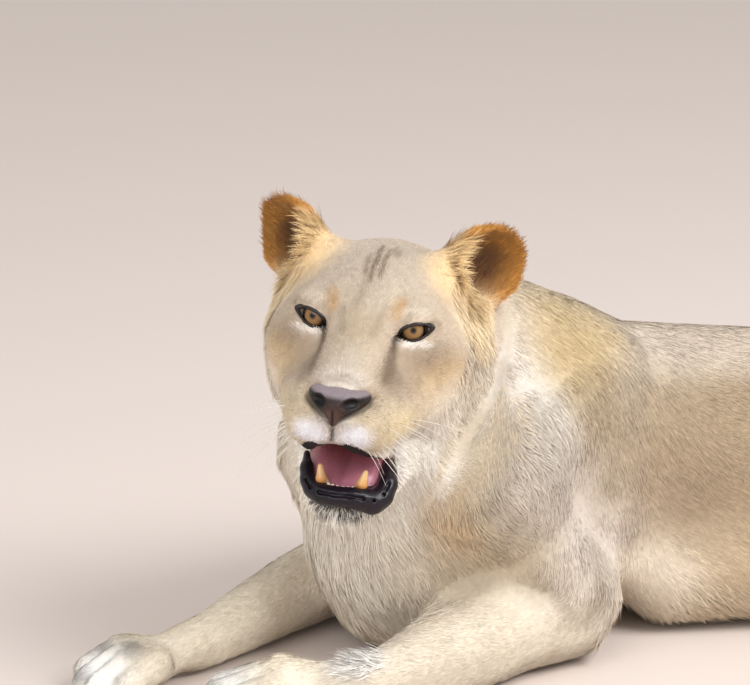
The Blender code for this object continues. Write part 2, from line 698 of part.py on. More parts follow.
def capsule_cutter(start, end, start_radius, end_radius):
    """The hull of a ball at each end of a limb."""
    ball = bmesh.new()
    bmesh.ops.create_icosphere(ball, subdivisions=1, radius=1.0)
    around = [vertex.co.copy() for vertex in ball.verts]
    ball.free()
    first = [start + way * start_radius for way in around]
    return hull_cutter(first + [end + way * end_radius for way in around])


def mirrored(frame, corners):
    """Corners given as (forward, left, up) in a frame, each one on both sides of it."""
    return [frame(forward, side * left, up) for forward, left, up in corners for side in (-1, 1)]


def part_head(head, body):
    """Keeps the finely made head before the neck line, and the coarse body behind it."""
    corners = ((-0.200, 0.165, 0.150), (-0.165, 0.140, -0.040), (-0.085, 0.072, -0.205),
               (0.000, 0.062, -0.240), (0.180, 0.070, -0.260), (0.180, 0.085, 0.100))
    cutter = hull_cutter(mirrored(HEAD, corners))
    seat = swollen(cutter, GAP)
    boolean(head, cutter, "INTERSECT")
    keep_largest(head.data)
    boolean(body, seat, "DIFFERENCE")
    keep_largest(body.data)
    remove(cutter)
    remove(seat)


def part_jaw(head):
    gullet = HEAD.turned(JAW_HINGE, GAPE * 0.5)
    corners = ((-0.085, 0.095, -0.116), (0.200, 0.095, -0.116), (-0.085, 0.095, -0.30), (0.200, 0.095, -0.30))
    return part_off(head, hull_cutter(mirrored(gullet, corners)), "lower_jaw")


def part_lower_limbs(body):
    """Takes off the feet, then the forearms and shanks above them."""
    for name, _ in SIDES:
        elbow, wrist, toes = ELBOW[name], WRIST[name], TOES[name]
        knee, hock, hind_toes = KNEE[name], HOCK[name], HIND_TOES[name]
        part_off(body, capsule_cutter(wrist.lerp(toes, 0.50), toes, 0.062, 0.056), "forepaw_" + name)
        foot = capsule_cutter(hock.lerp(hind_toes, 0.38), hind_toes, 0.056, 0.056)
        part_off(body, foot, "hind_foot_" + name)
        part_off(body, capsule_cutter(elbow.lerp(wrist, 0.10), wrist, 0.088, 0.062), "forearm_" + name)
        part_off(body, capsule_cutter(knee.lerp(hock, 0.25), hock, 0.074, 0.056), "shank_" + name)


def part_neck(body):
    """Takes off what is left before a plane that leans from the withers to the breast."""
    ahead = Vector((-0.60, -0.48, 0.64)).normalized()
    left = Vector((0, 0, 1)).cross(ahead).normalized()
    lean = Frame((0.050, 0.010, 0.330), ahead, left, ahead.cross(left))
    part_off(body, box_cutter(lean(0.30, 0, 0), (0.30, 0.40, 0.40), lean), "neck")


def part_upper_limbs(body):
    """Takes the upper arms and thighs out of the trunk as rounded pieces."""
    shoulder = {"left": Vector((0.200, -0.045, 0.190))}
    shoulder["right"] = across_chest(shoulder["left"])
    for name, _ in SIDES:
        part_off(body, ball_cutter(shoulder[name], (0.128, 0.108, 0.215), CHEST_HEADING), "upper_arm_" + name)
        hip, knee = HIP[name], KNEE[name]
        wide = 0.165 if name == "left" else 0.150
        part_off(body, ball_cutter(hip.lerp(knee, 0.42), (0.270, wide, 0.170), hip - knee), "thigh_" + name)


def part_lengths(body):
    """Cuts the tail and the trunk across."""
    for before, after in ((1, 2), (3, 4), (5, 6)):
        run = TAIL[after][0] - TAIL[before][0]
        sever(body, TAIL[before][0] + run * 0.55, run, 0.065, 0.065)
    sever(body, (0.360, 0.180, 0.160), (1, 0.15, 0), 0.30, 0.30)                   # chest from belly
    sever(body, (0.780, 0.210, 0.160), (1, 0.08, 0), 0.30, 0.30)                   # belly from hips


def islands_of(obj):
    """Splits an object into one object for each loose piece."""
    shape = bmesh.new()
    shape.from_mesh(obj.data)
    found = []
    for island in islands(shape):
        piece = bmesh.new()
        known = {}
        for face in island:
            corners = []
            for vertex in face.verts:
                if vertex not in known:
                    known[vertex] = piece.verts.new(vertex.co)
                corners.append(known[vertex])
            piece.faces.new(corners)
        found.append(object_of(piece, obj.name + "_piece"))
    shape.free()
    remove(obj)
    return found


def name_pieces(body, centres):
    """Names each loose piece of the body after the nearest named centre."""
    pieces = islands_of(body)
    for name, centre in centres.items():
        nearest = min(pieces, key=lambda piece: (middle_of(piece) - centre).length)
        pieces.remove(nearest)
        nearest.name = name
    for crumb in pieces:
        remove(crumb)


def middle_of(obj):
    return sum((vertex.co for vertex in obj.data.vertices), Vector()) / len(obj.data.vertices)


def make_animal():
    middle = HEAD(-0.04, 0, -0.05)
    head_clay = Clay(middle - Vector((0.25,) * 3), middle + Vector((0.25,) * 3), FINE_VOXEL)
    head = fill_with_flesh(head_clay).skinned("head", HEAD_FACES)
    body_clay = Clay((-0.42, -0.45, -0.08), (1.52, 0.50, 0.56), COARSE_VOXEL)
    body = fill_with_flesh(body_clay).skinned("body", BODY_FACES)
    level_with_floor(body)
    part_head(head, body)
    jaw = part_jaw(head)
    for name, side in SIDES:
        ear = ear_frame(side)
        part_off(head, ball_cutter(ear(-0.006, 0, 0.004), (0.052, 0.055, 0.055), ear.axes[0]), "ear_" + name)
        seat_in(head, make_eye(name, side))
    hollow(head, make_nose("nose_seat", 0.0009))
    make_nose("nose")
    teeth = make_lower_teeth()
    tongue = make_tongue()
    seat_in(jaw, teeth)
    seat_in(jaw, tongue)
    seat_in(head, tongue)
    seat_in(tongue, teeth)
    part_lower_limbs(body)
    part_neck(body)
    part_upper_limbs(body)
    part_lengths(body)
    name_pieces(body, {
        "chest": Vector((0.13, 0.06, 0.16)),
        "belly": Vector((0.58, 0.18, 0.15)), "hips": Vector((0.96, 0.20, 0.15)),
        "tail_base": TAIL[3][0], "tail_middle": TAIL[4][0], "tail_tip": TAIL[7][0]})


# ---------------------------------------------------------------- colours and resting place
SAND = (0.60, 0.46, 0.31)
PALE = (0.70, 0.61, 0.48)
COLOURS = {
    "head": (SAND, 0.85), "lower_jaw": ((0.76, 0.70, 0.60), 0.85), "ear_left": ((0.52, 0.34, 0.17), 0.85),
    "ear_right": ((0.52, 0.34, 0.17), 0.85), "eye_left": ((0.24, 0.13, 0.04), 0.15),
    "eye_right": ((0.24, 0.13, 0.04), 0.15), "nose": ((0.05, 0.03, 0.03), 0.45),
    "tongue": ((0.42, 0.18, 0.20), 0.45), "lower_teeth": ((0.60, 0.36, 0.12), 0.35),
    "neck": (PALE, 0.85), "chest": (PALE, 0.85), "belly": (SAND, 0.85), "hips": (SAND, 0.85),
    "upper_arm_left": (SAND, 0.85), "upper_arm_right": (SAND, 0.85), "forearm_left": (PALE, 0.85),
    "forearm_right": (PALE, 0.85), "forepaw_left": ((0.76, 0.70, 0.60), 0.85),
    "forepaw_right": ((0.76, 0.70, 0.60), 0.85), "thigh_left": (SAND, 0.85), "thigh_right": (PALE, 0.85),
    "shank_left": (SAND, 0.85), "shank_right": (PALE, 0.85), "hind_foot_left": (PALE, 0.85),
    "hind_foot_right": (PALE, 0.85), "tail_base": (SAND, 0.85), "tail_middle": (SAND, 0.85),
    "tail_tip": ((0.06, 0.045, 0.035), 0.85),
}


def stand_at_origin(objects):
    """Moves everything so that the middle of the footprint is the origin and the floor is z = 0."""
    corners = [vertex.co for obj in objects for vertex in obj.data.vertices]
    low = [min(corner[i] for corner in corners) for i in range(3)]
    high = [max(corner[i] for corner in corners) for i in range(3)]
    shift = Vector((-(low[0] + high[0]) / 2, -(low[1] + high[1]) / 2, -low[2]))
    for obj in objects:
        obj.data.transform(Matrix.Translation(shift))
    print("shift to the origin:", [round(value, 4) for value in shift])


def main():
    for old in list(bpy.data.objects):
        bpy.data.objects.remove(old, do_unlink=True)
    make_animal()
    for name, (colour, roughness) in COLOURS.items():
        paint(bpy.data.objects[name], name, colour, roughness)
    stand_at_origin([bpy.data.objects[name] for name in COLOURS])


main()
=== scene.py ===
import itertools
import math

import bmesh
import bpy
import numpy as np
import openvdb
from mathutils import Matrix, Vector
from mathutils.kdtree import KDTree


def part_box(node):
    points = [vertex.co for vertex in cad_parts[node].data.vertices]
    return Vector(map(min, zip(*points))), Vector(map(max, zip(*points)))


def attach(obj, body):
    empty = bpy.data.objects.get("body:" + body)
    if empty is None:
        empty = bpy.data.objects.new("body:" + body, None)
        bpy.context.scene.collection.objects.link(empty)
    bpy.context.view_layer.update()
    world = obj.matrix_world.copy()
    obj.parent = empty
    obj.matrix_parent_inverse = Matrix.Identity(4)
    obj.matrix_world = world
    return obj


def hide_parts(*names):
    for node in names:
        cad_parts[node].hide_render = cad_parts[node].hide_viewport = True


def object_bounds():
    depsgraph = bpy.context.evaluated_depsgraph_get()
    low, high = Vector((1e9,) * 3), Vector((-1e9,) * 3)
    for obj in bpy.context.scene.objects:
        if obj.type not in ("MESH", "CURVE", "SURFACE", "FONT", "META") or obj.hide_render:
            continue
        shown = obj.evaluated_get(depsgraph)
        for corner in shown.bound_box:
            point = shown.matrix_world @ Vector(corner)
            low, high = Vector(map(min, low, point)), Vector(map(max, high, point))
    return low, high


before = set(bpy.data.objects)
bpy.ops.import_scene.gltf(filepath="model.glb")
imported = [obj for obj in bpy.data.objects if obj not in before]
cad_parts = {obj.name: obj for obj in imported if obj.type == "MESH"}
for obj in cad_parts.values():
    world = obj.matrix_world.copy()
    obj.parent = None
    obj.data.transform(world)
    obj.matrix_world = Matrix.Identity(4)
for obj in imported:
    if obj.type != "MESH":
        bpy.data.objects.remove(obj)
cadBox = [list(map(float, corner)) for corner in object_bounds()]

# How she holds her head, in degrees and metres.
pose = {
    "yaw": 10, "pitch": -4, "roll": -6,
    "gape": 19, "jawAside": 0.007,
    "eyeRadius": 0.0185, "eyeSpacing": 0.110, "eyeOut": 14, "earAside": {1: 0.111, -1: 0.117},
}


class Axes:
    # a place with a forward, a left and an up direction
    def __init__(self, origin, forward, left, up):
        self.origin = np.array(origin, float)
        self.forward, self.left, self.up = (np.array(way, float) for way in (forward, left, up))
        self.rows = np.array((self.forward, self.left, self.up))

    def at(self, forward, left, up):
        return self.origin + np.array((forward, left, up)) @ self.rows

    def within(self, points):
        return (points - self.origin) @ self.rows.T

    def turned(self, pivot, turn):
        return Axes(pivot + turn @ (self.origin - pivot), *(turn @ row for row in self.rows))


def rotation(degrees, axis):
    return np.array(Matrix.Rotation(math.radians(degrees), 3, Vector(axis)))


def boxMiddle(node):
    low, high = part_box(node)
    return (np.array(low) + np.array(high)) / 2


def unit(vectors):
    vectors = np.asarray(vectors, float)
    return vectors / np.maximum(np.linalg.norm(vectors, axis=-1, keepdims=True), 1e-9)


def smoothstep(low, high, value):
    t = np.clip((value - low) / (high - low), 0, 1)
    return t * t * (3 - 2 * t)


def headAxes():
    yaw = math.radians(pose["yaw"])
    forward = np.array((-math.sin(yaw), -math.cos(yaw), 0.0))
    left = np.array((math.cos(yaw), -math.sin(yaw), 0.0))
    nod = rotation(pose["pitch"], left)
    forward, up = nod @ forward, nod @ np.array((0.0, 0.0, 1.0))
    lean = rotation(pose["roll"], forward)
    eyes = (boxMiddle("eye_left") + boxMiddle("eye_right")) / 2
    eyes = eyes + forward * pose["eyeRadius"] * math.cos(math.radians(pose["eyeOut"]))
    return Axes(eyes, forward, lean @ left, lean @ up)


head = headAxes()
jaw = head.turned(head.at(-0.145, 0, -0.055), rotation(pose["gape"], head.left))
jaw.origin = jaw.origin + jaw.left * pose["jawAside"]
sides = (("left", 1), ("right", -1))


def eyeAxes(side):
    turn = rotation(pose["eyeOut"] * side, head.up)
    rows = [turn @ row for row in head.rows]
    pupil = head.at(0, side * pose["eyeSpacing"] / 2, 0)
    return Axes(pupil - rows[0] * pose["eyeRadius"], *rows)


def earAxes(side):
    up = unit(head.up * 0.93 + head.left * side * 0.36 - head.forward * 0.05)
    look = head.forward * 0.80 + head.left * side * 0.58 + head.up * 0.12
    look = unit(look - up * look.dot(up))
    return Axes(head.at(-0.120, side * pose["earAside"][side], 0.058), look, np.cross(up, look), up)


eyes = {side: eyeAxes(side) for _, side in sides}
ears = {side: earAxes(side) for _, side in sides}


def mirroredHead(points):
    # places in the head's frame, with the right side laid over the left one
    local = head.within(points)
    local[..., 1] = np.abs(local[..., 1])
    return local


# Shapes as signed distances, for points in rows of three.
def ball(points, centre, radius):
    return np.linalg.norm(points - centre, axis=-1) - radius


def egg(points, axes, centre, halfSizes):
    offset = (axes.within(points) - np.array(centre)) / np.array(halfSizes)
    return (np.linalg.norm(offset, axis=-1) - 1) * min(halfSizes)


def cone(points, start, end, startRadius, endRadius):
    start, end = np.array(start), np.array(end)
    along = end - start
    t = np.clip((points - start) @ along / max(along @ along, 1e-12), 0, 1)
    reach = np.linalg.norm(points - start - t[..., None] * along, axis=-1)
    return reach - (startRadius + (endRadius - startRadius) * t)


def softMin(a, b, blend):
    h = np.clip(0.5 + 0.5 * (b - a) / blend, 0, 1)
    return b + (a - b) * h - blend * h * (1 - h)


def boxGap(places, low, high):
    # how far places, given axis by axis, lie outside a box, negative inside it
    gaps = [np.maximum(a - place, place - b) for a, b, place in zip(low, high, places)]
    return np.maximum(np.maximum(gaps[0], gaps[1]), gaps[2])


class Clay:
    # signed distances on a grid, built up shape by shape
    def __init__(self, low, high, voxel):
        self.voxel = voxel
        self.first = np.floor(np.array(low) / voxel).astype(int)
        self.corner = tuple(int(i) for i in self.first)
        self.size = np.ceil((np.array(high) - np.array(low)) / voxel).astype(int) + 2
        self.field = np.full(self.size, 1.0, np.float32)

    def spans(self, low, high):
        # the grid's places along each axis, from one of its rows to another
        return [((np.arange(a, b) + f) * self.voxel).astype(np.float32)
                for a, b, f in zip(low, high, self.first)]

    def window(self, centre, reach):
        low = np.floor((np.array(centre) - reach) / self.voxel).astype(int) - self.first
        high = np.ceil((np.array(centre) + reach) / self.voxel).astype(int) - self.first
        low, high = np.clip(low, 0, self.size - 1), np.clip(high, 1, self.size)
        part = tuple(slice(a, b) for a, b in zip(low, high))
        return part, np.stack(np.meshgrid(*self.spans(low, high), indexing="ij"), axis=-1)

    def shape(self, centre, reach, distance, blend, cut=False):
        part, points = self.window(centre, reach)
        was, made = self.field[part], distance(points)
        self.field[part] = -softMin(-was, made, blend) if cut else softMin(was, made, blend)

    def grids(self):
        return np.meshgrid(*self.spans((0, 0, 0), self.size), indexing="ij", sparse=True)

    def local(self, axes):
        # the grid's places along a frame's forward, left and up
        x, y, z = self.grids()
        start = axes.rows @ axes.origin
        return [x * np.float32(row[0]) + y * np.float32(row[1]) + z * np.float32(row[2]) - np.float32(shift)
                for row, shift in zip(axes.rows, start)]

    def mesh(self):
        grid = openvdb.FloatGrid(1.0)
        grid.transform = openvdb.createLinearTransform(voxelSize=self.voxel)
        grid.copyFromArray(np.ascontiguousarray(self.field), ijk=self.corner, tolerance=0.0)
        return grid.convertToQuads(isovalue=0.0)


def clayAround(axes, place, reach, voxel):
    middle = axes.at(*place)
    return Clay(middle - reach, middle + reach, voxel)


edgeRoom = 0.006     # kept free around each shape


def tilted(axes, place, turn=0.0, tilt=0.0):
    # a frame's axes at a place in it, swung round its up axis and dipped round its left one
    swing = rotation(math.degrees(turn), axes.up) @ rotation(math.degrees(tilt), axes.left)
    return Axes(axes.at(*place), *(swing @ row for row in axes.rows))


def blob(clay, axes, centre, halfSizes, blend, turn=0.0, tilt=0.0, cut=False):
    own = tilted(axes, centre, turn, tilt)
    reach = max(halfSizes) + blend + edgeRoom
    clay.shape(own.origin, reach, lambda p: egg(p, own, (0, 0, 0), halfSizes), blend, cut)


def rod(clay, axes, start, end, radii, blend, cut=False):
    a, b = axes.at(*start), axes.at(*end)
    reach = np.linalg.norm(b - a) / 2 + max(radii) + blend + edgeRoom
    clay.shape((a + b) / 2, reach, lambda p: cone(p, a, b, *radii), blend, cut)


def chain(clay, axes, places, blend, cut=False):
    # a row of joined rods, each place with its own radius at the end
    for a, b in zip(places, places[1:]):
        rod(clay, axes, a[:3], b[:3], (a[3], b[3]), blend, cut)


def blurred(field, sigma):
    reach = max(1, int(math.ceil(sigma * 2.5)))
    weights = np.exp(-0.5 * (np.arange(-reach, reach + 1) / sigma) ** 2)
    weights = (weights / weights.sum()).astype(np.float32)
    for axis in range(3):
        padded = np.pad(field, [(reach, reach) if a == axis else (0, 0) for a in range(3)], mode="edge")
        total = np.zeros_like(field)
        for k, weight in enumerate(weights):
            cut = [slice(None)] * 3
            cut[axis] = slice(k, k + field.shape[axis])
            total += weight * padded[tuple(cut)]
        field = total
    return field


def nodeMesh(names):
    corners, triangles, count = [], [], 0
    for name in names:
        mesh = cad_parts[name].data
        mesh.calc_loop_triangles()
        points = np.empty(len(mesh.vertices) * 3, np.float32)
        mesh.vertices.foreach_get("co", points)
        faces = np.empty(len(mesh.loop_triangles) * 3, np.int32)
        mesh.loop_triangles.foreach_get("vertices", faces)
        corners.append(points.reshape(-1, 3))
        triangles.append(faces.reshape(-1, 3) + count)
        count += len(mesh.vertices)
    return np.concatenate(corners), np.concatenate(triangles).astype(np.uint32)


def distanceField(clay, corners, triangles, closing, band):
    # closes the thin cuts between the solids, then measures distances to what is left
    levelSet = openvdb.FloatGrid.createLevelSetFromPolygons
    spacing = openvdb.createLinearTransform(voxelSize=clay.voxel)
    made = levelSet(corners, triangles=triangles, transform=spacing, halfWidth=4.0)
    shell, quads = made.convertToQuads(isovalue=closing)
    made = levelSet(shell, quads=quads, transform=spacing, halfWidth=band)
    field = np.full(clay.size, 1.0, np.float32)
    made.copyToArray(field, ijk=clay.corner)
    return field + np.float32(closing)


hardNodes = ("eye_left", "eye_right", "nose", "tongue", "lower_teeth")
fleshNodes = sorted(set(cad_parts) - set(hardNodes))
smallForms = ("paw", "foot", "tail", "jaw", "ear_", "forearm", "shank")
fineNodes = [name for name in fleshNodes if any(part in name for part in smallForms)]
bench = head.origin - np.array((-0.013, -0.173, 0.413))     # where the part's own measurements start


def inBench(points):
    return points - bench


class Block:
    # a box in a frame, whose skin is made on a finer grid of its own
    def __init__(self, axes, low, high, voxel):
        self.axes, self.low, self.high, self.voxel = axes, np.array(low), np.array(high), voxel
        corners = [axes.at(*corner) for corner in itertools.product(*zip(low, high))]
        self.first, self.last = np.min(corners, axis=0), np.max(corners, axis=0)

    def gapAt(self, points):
        return boxGap(np.moveaxis(self.axes.within(points), -1, 0), self.low, self.high)

    def gapIn(self, clay):
        return boxGap(clay.local(self.axes), self.low, self.high)

    def nodes(self, close=0.02):
        # the parts in the box or close to it
        near = []
        for name in fleshNodes:
            low, high = (np.array(corner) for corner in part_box(name))
            if (low < self.last + close).all() and (high > self.first - close).all():
                near.append(name)
        return near


# Where the ankles or wrists and the toe tips lie, how thick each paw is and how far its toes spread.
feet = {
    "forepaw_left": ((-0.010, -0.262, 0.035), (-0.165, -0.238, 0.028), 0.050),
    "forepaw_right": ((-0.197, -0.108, 0.031), (-0.305, -0.200, 0.024), 0.050),
    "hind_foot_left": ((1.065, -0.155, 0.040), (0.868, -0.275, 0.024), 0.046),
    "hind_foot_right": ((0.712, -0.205, 0.036), (0.500, -0.285, 0.024), 0.046),
}


def footAxes(ankle, toes):
    ahead = unit(np.subtract(toes, ankle))
    aside = unit(np.cross((0, 0, 1), ahead))
    return Axes(bench + np.array(toes), ahead, aside, np.cross(ahead, aside))


footFrames = {name: footAxes(ankle, toes) for name, (ankle, toes, _) in feet.items()}
headBlock = Block(head, (-0.185, -0.21, -0.232), (0.25, 0.21, 0.30), 0.002)
footBox = ((-0.095, -0.068, -0.05), (0.06, 0.068, 0.10))
footBlocks = {name: Block(axes, *footBox, 0.0026) for name, axes in footFrames.items()}
blocks = (headBlock, *footBlocks.values())

# How the flesh is closed and smoothed, how low its skin may reach, and how many faces that gets.
flesh = {
    "bodyVoxel": 0.006, "room": 0.03, "closing": 0.0022, "lowest": 0.0012,
    "broad": 0.012, "fine": 0.0042,
    "bodyFaces": 90000, "headFaces": 90000, "footFaces": 7000,
}


def kindOf(node):
    for side, _ in sides:
        node = node.removesuffix("_" + side)
    return node


def fineness(clay):
    # 1 where small forms must stay crisp: the head, the feet and the tail
    fine = smoothstep(0.05, 0.02, headBlock.gapIn(clay)).astype(np.float32)
    for name in fineNodes:
        fine = np.maximum(fine, smoothstep(0.035, 0.0, boxGap(clay.grids(), *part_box(name))))
    return fine


def fleshClay(names, voxel, low, high, band):
    clay = Clay(np.array(low) - flesh["room"], np.array(high) + flesh["room"], voxel)
    clay.field = distanceField(clay, *nodeMesh(names), closing=flesh["closing"], band=band)
    return clay


def fineClay(block):
    clay = fleshClay(block.nodes(), block.voxel, block.first, block.last, band=8)
    clay.field = blurred(clay.field, flesh["fine"] / clay.voxel)
    return clay


print("skin: body")
bodyClay = fleshClay(fleshNodes, flesh["bodyVoxel"], *cadBox, band=7)
sharp = blurred(bodyClay.field, flesh["fine"] / bodyClay.voxel)
soft = blurred(bodyClay.field, flesh["broad"] / bodyClay.voxel)
mix = fineness(bodyClay)
bodyClay.field = (sharp * mix + soft * (1 - mix)).astype(np.float32)

print("skin: head and feet")
headClay = fineClay(headBlock)
footClays = {name: fineClay(block) for name, block in footBlocks.items()}
cheekFold = ((-0.100, 0.115, 0.020), (-0.062, 0.128, -0.115), (-0.020, 0.100, -0.175))


def evenFold(side):
    # evens out the fold between the cheek and the neck
    part, points = headClay.window(head.at(-0.065, side * 0.118, -0.080), 0.14)
    local = mirroredHead(points)
    gap = np.minimum(*(cone(local, a, b, 0, 0) for a, b in zip(cheekFold, cheekFold[1:])))
    was = headClay.field[part]
    change = (blurred(was, 0.011 / headClay.voxel) - was) * smoothstep(0.042, 0.014, gap)
    headClay.field[part] += change.astype(np.float32)


for _, side in sides:
    evenFold(side)

# How far the skin lies under the coat's tips.
coat = {"trunkDepth": 0.0055, "fineDepth": 0.0032, "faceDepth": 0.0020, "tuftDepth": 0.010}
bodyClay.field += (coat["fineDepth"] * mix + coat["trunkDepth"] * (1 - mix)).astype(np.float32)
part, points = bodyClay.window(boxMiddle("tail_tip"), 0.12)
nearTuft = smoothstep(0.11, 0.05, np.linalg.norm(points - boxMiddle("tail_tip"), axis=-1))
bodyClay.field[part] += (nearTuft * coat["tuftDepth"]).astype(np.float32)
faceDepth = smoothstep(0.0, -0.10, headBlock.gapIn(headClay))
headClay.field += (coat["faceDepth"] * faceDepth + coat["fineDepth"] * (1 - faceDepth)).astype(np.float32)


# The lids' opening, in metres from the pupil, and how thick the lids are.
lids = {
    "middle": (0.0555, -0.0022), "tilt": 21, "halfWidth": 0.0205,
    "upper": 0.0086, "lower": 0.0092, "thick": 0.0030,
}


def lidCurve(x, way):
    return lids[way] * np.clip(1 - np.abs(x / lids["halfWidth"]) ** 2.1, -1, 1)


def lidOpening(points, side):
    # negative in front of the eyeball, between the lids
    ahead, aside, up = np.moveaxis(head.within(points), -1, 0)
    tilt = math.radians(lids["tilt"])
    right, high = aside * side - lids["middle"][0], up - lids["middle"][1]
    x = right * math.cos(tilt) + high * math.sin(tilt)
    y = high * math.cos(tilt) - right * math.sin(tilt)
    gap = np.maximum(y - lidCurve(x, "upper"), -lidCurve(x, "lower") - y) * 0.8
    return np.maximum(np.maximum(gap, np.abs(x) - lids["halfWidth"]), -0.012 - ahead)


def shapeFace(clay):
    radius = pose["eyeRadius"]
    for _, side in sides:
        pupil = eyes[side].origin
        clay.shape(pupil, 0.035, lambda p: ball(p, pupil, radius + lids["thick"]), 0.005)
        clay.shape(pupil, 0.040, lambda p: lidOpening(p, side), 0.0016, cut=True)
        clay.shape(pupil, 0.035, lambda p: ball(p, pupil, radius - 0.0008), 0.0005, cut=True)
    # the furred end of the bridge
    blob(clay, head, (0.0860, 0, -0.0540), (0.0240, 0.0225, 0.0092), 0.008, tilt=0.16)
    for _, side in sides:
        # leaner cheeks
        hollow = head.at(-0.025, side * 0.105, -0.088)
        part, points = clay.window(hollow, 0.10)
        reach = np.linalg.norm(points - hollow, axis=-1)
        clay.field[part] += (0.010 * np.exp(-0.5 * (reach / 0.034) ** 2)).astype(np.float32)
    groove = head.at(0.124, 0, -0.082), head.at(0.117, 0, -0.104)
    clay.shape(groove[0], 0.03, lambda p: cone(p, *groove, 0.0012, 0.0016), 0.003, cut=True)


shapeFace(headClay)


def shapePaw(clay, name):
    # four toes with clefts between them
    axes, spread = footFrames[name], feet[name][2]
    for step, reach in ((-1.5, -0.020), (-0.5, 0.0), (0.5, 0.0), (1.5, -0.020)):
        knuckle = axes.at(reach - 0.040, step * spread * 0.43, 0.006)
        tip = axes.at(reach, step * spread * 0.47, -0.005)
        clay.shape(tip, 0.08, lambda p: cone(p, knuckle, tip, 0.0178, 0.0160), 0.004)
    for step, reach in ((-1, -0.010), (0, 0.0), (1, -0.010)):
        back = axes.at(reach - 0.045, step * spread * 0.43, 0.027)
        front = axes.at(reach + 0.022, step * spread * 0.48, 0.004)
        clay.shape(front, 0.08, lambda p: cone(p, back, front, 0.0015, 0.0050), 0.008, cut=True)
    clay.field = np.maximum(clay.field, flesh["lowest"] - clay.grids()[2])


def resampled(clay):
    # the body's distances at the places of a finer grid
    field = bodyClay.field
    for axis in range(3):
        rows = np.arange(clay.size[axis]) + clay.first[axis]
        spots = rows * clay.voxel / bodyClay.voxel - bodyClay.first[axis]
        low = np.clip(np.floor(spots).astype(int), 0, field.shape[axis] - 2)
        shape = [1, 1, 1]
        shape[axis] = -1
        share = np.clip(spots - low, 0, 1).astype(np.float32).reshape(shape)
        field = np.take(field, low, axis) * (1 - share) + np.take(field, low + 1, axis) * share
    return field


overlap = 0.012     # how far the finer skins and the body's pass over each other


def trimmed(clay, block, margin):
    # keeps what lies in the block, passing over into the body's skin at its edge
    gap = block.gapIn(clay)
    share = smoothstep(-margin, -0.002, gap)
    field = clay.field * (1 - share) + (resampled(clay) + 0.0003) * share
    clay.field = np.maximum(field, gap - overlap).astype(np.float32)


for name, clay in footClays.items():
    clay.field += np.float32(coat["fineDepth"])
    shapePaw(clay, name)
    trimmed(clay, footBlocks[name], margin=0.02)
trimmed(headClay, headBlock, margin=0.04)
for block in blocks:
    bodyClay.field = np.maximum(bodyClay.field, -overlap - block.gapIn(bodyClay)).astype(np.float32)


def placed(name, data):
    made = bpy.data.objects.new(name, data)
    bpy.context.scene.collection.objects.link(made)
    return made


def newObject(name, points, faces, material=None):
    mesh = bpy.data.meshes.new(name)
    mesh.from_pydata(points, [], faces)
    mesh.update()
    if material:
        mesh.materials.append(material)
    return placed(name, mesh)


def applied(piece):
    # replaces a piece's mesh by what its modifiers make of it
    graph = bpy.context.evaluated_depsgraph_get()
    made = bpy.data.meshes.new_from_object(piece.evaluated_get(graph))
    piece.modifiers.clear()
    was = piece.data
    piece.data = made
    bpy.data.meshes.remove(was)
    return piece


def thinned(piece, faces):
    smooth = piece.modifiers.new("Smooth", "CORRECTIVE_SMOOTH")
    smooth.use_only_smooth = True
    smooth.iterations = 2
    thin = piece.modifiers.new("Thin", "DECIMATE")
    thin.ratio = min(1.0, faces / (2 * len(piece.data.polygons)))
    return applied(piece)


def largest(points, faces):
    # keeps the biggest connected shell
    owner = np.arange(len(points))
    links = np.concatenate([faces[:, [i, (i + 1) % faces.shape[1]]] for i in range(faces.shape[1])])
    for _ in range(200):
        low = np.minimum(owner[links[:, 0]], owner[links[:, 1]])
        was = owner.copy()
        np.minimum.at(owner, links[:, 0], low)
        np.minimum.at(owner, links[:, 1], low)
        owner = owner[owner]
        if np.array_equal(was, owner):
            break
    kept = owner == np.bincount(owner).argmax()
    place = np.cumsum(kept) - 1
    return points[kept], place[faces[kept[faces[:, 0]]]]


def shell(name, clay, faces):
    return thinned(newObject(name, *largest(*clay.mesh())), faces)


print("skin: meshes")
bodySkin = shell("skin", bodyClay, flesh["bodyFaces"])
headSkin = shell("skin_head", headClay, flesh["headFaces"])
footSkins = [shell(name + "_skin", clay, flesh["footFaces"]) for name, clay in footClays.items()]
shellSizes = [len(piece.data.vertices) for piece in (bodySkin, headSkin, *footSkins)]


def selected(pieces):
    bpy.ops.object.select_all(action="DESELECT")
    for piece in pieces:
        piece.select_set(True)
    bpy.context.view_layer.objects.active = pieces[0]


def joined(name, pieces):
    selected(pieces)
    bpy.ops.object.join()
    pieces[0].name = pieces[0].data.name = name
    return pieces[0]


def unwrapped(piece):
    selected([piece])
    bpy.ops.object.mode_set(mode="EDIT")
    bpy.ops.mesh.select_all(action="SELECT")
    bpy.ops.mesh.quads_convert_to_tris()
    bpy.ops.uv.smart_project(angle_limit=math.radians(70), island_margin=0.002)
    bpy.ops.object.mode_set(mode="OBJECT")
    piece.data.uv_layers[0].name = "OFBake"


skin = joined("skin", [bodySkin, headSkin, *footSkins])
unwrapped(skin)
skin.data.shade_smooth()


def vectorsOf(items, name, width, kind=np.float32):
    values = np.empty(len(items) * width, kind)
    items.foreach_get(name, values)
    return values.reshape(-1, width) if width > 1 else values


mesh = skin.data
skinPoints = vectorsOf(mesh.vertices, "co", 3).astype(float)
skinNormals = vectorsOf(mesh.vertices, "normal", 3).astype(float)
skinFaces = vectorsOf(mesh.loops, "vertex_index", 1, np.int32).reshape(-1, 3)
skinMap = vectorsOf(mesh.uv_layers["OFBake"].data, "uv", 2).reshape(-1, 3, 2)
print("skin:", len(skinPoints), "points")

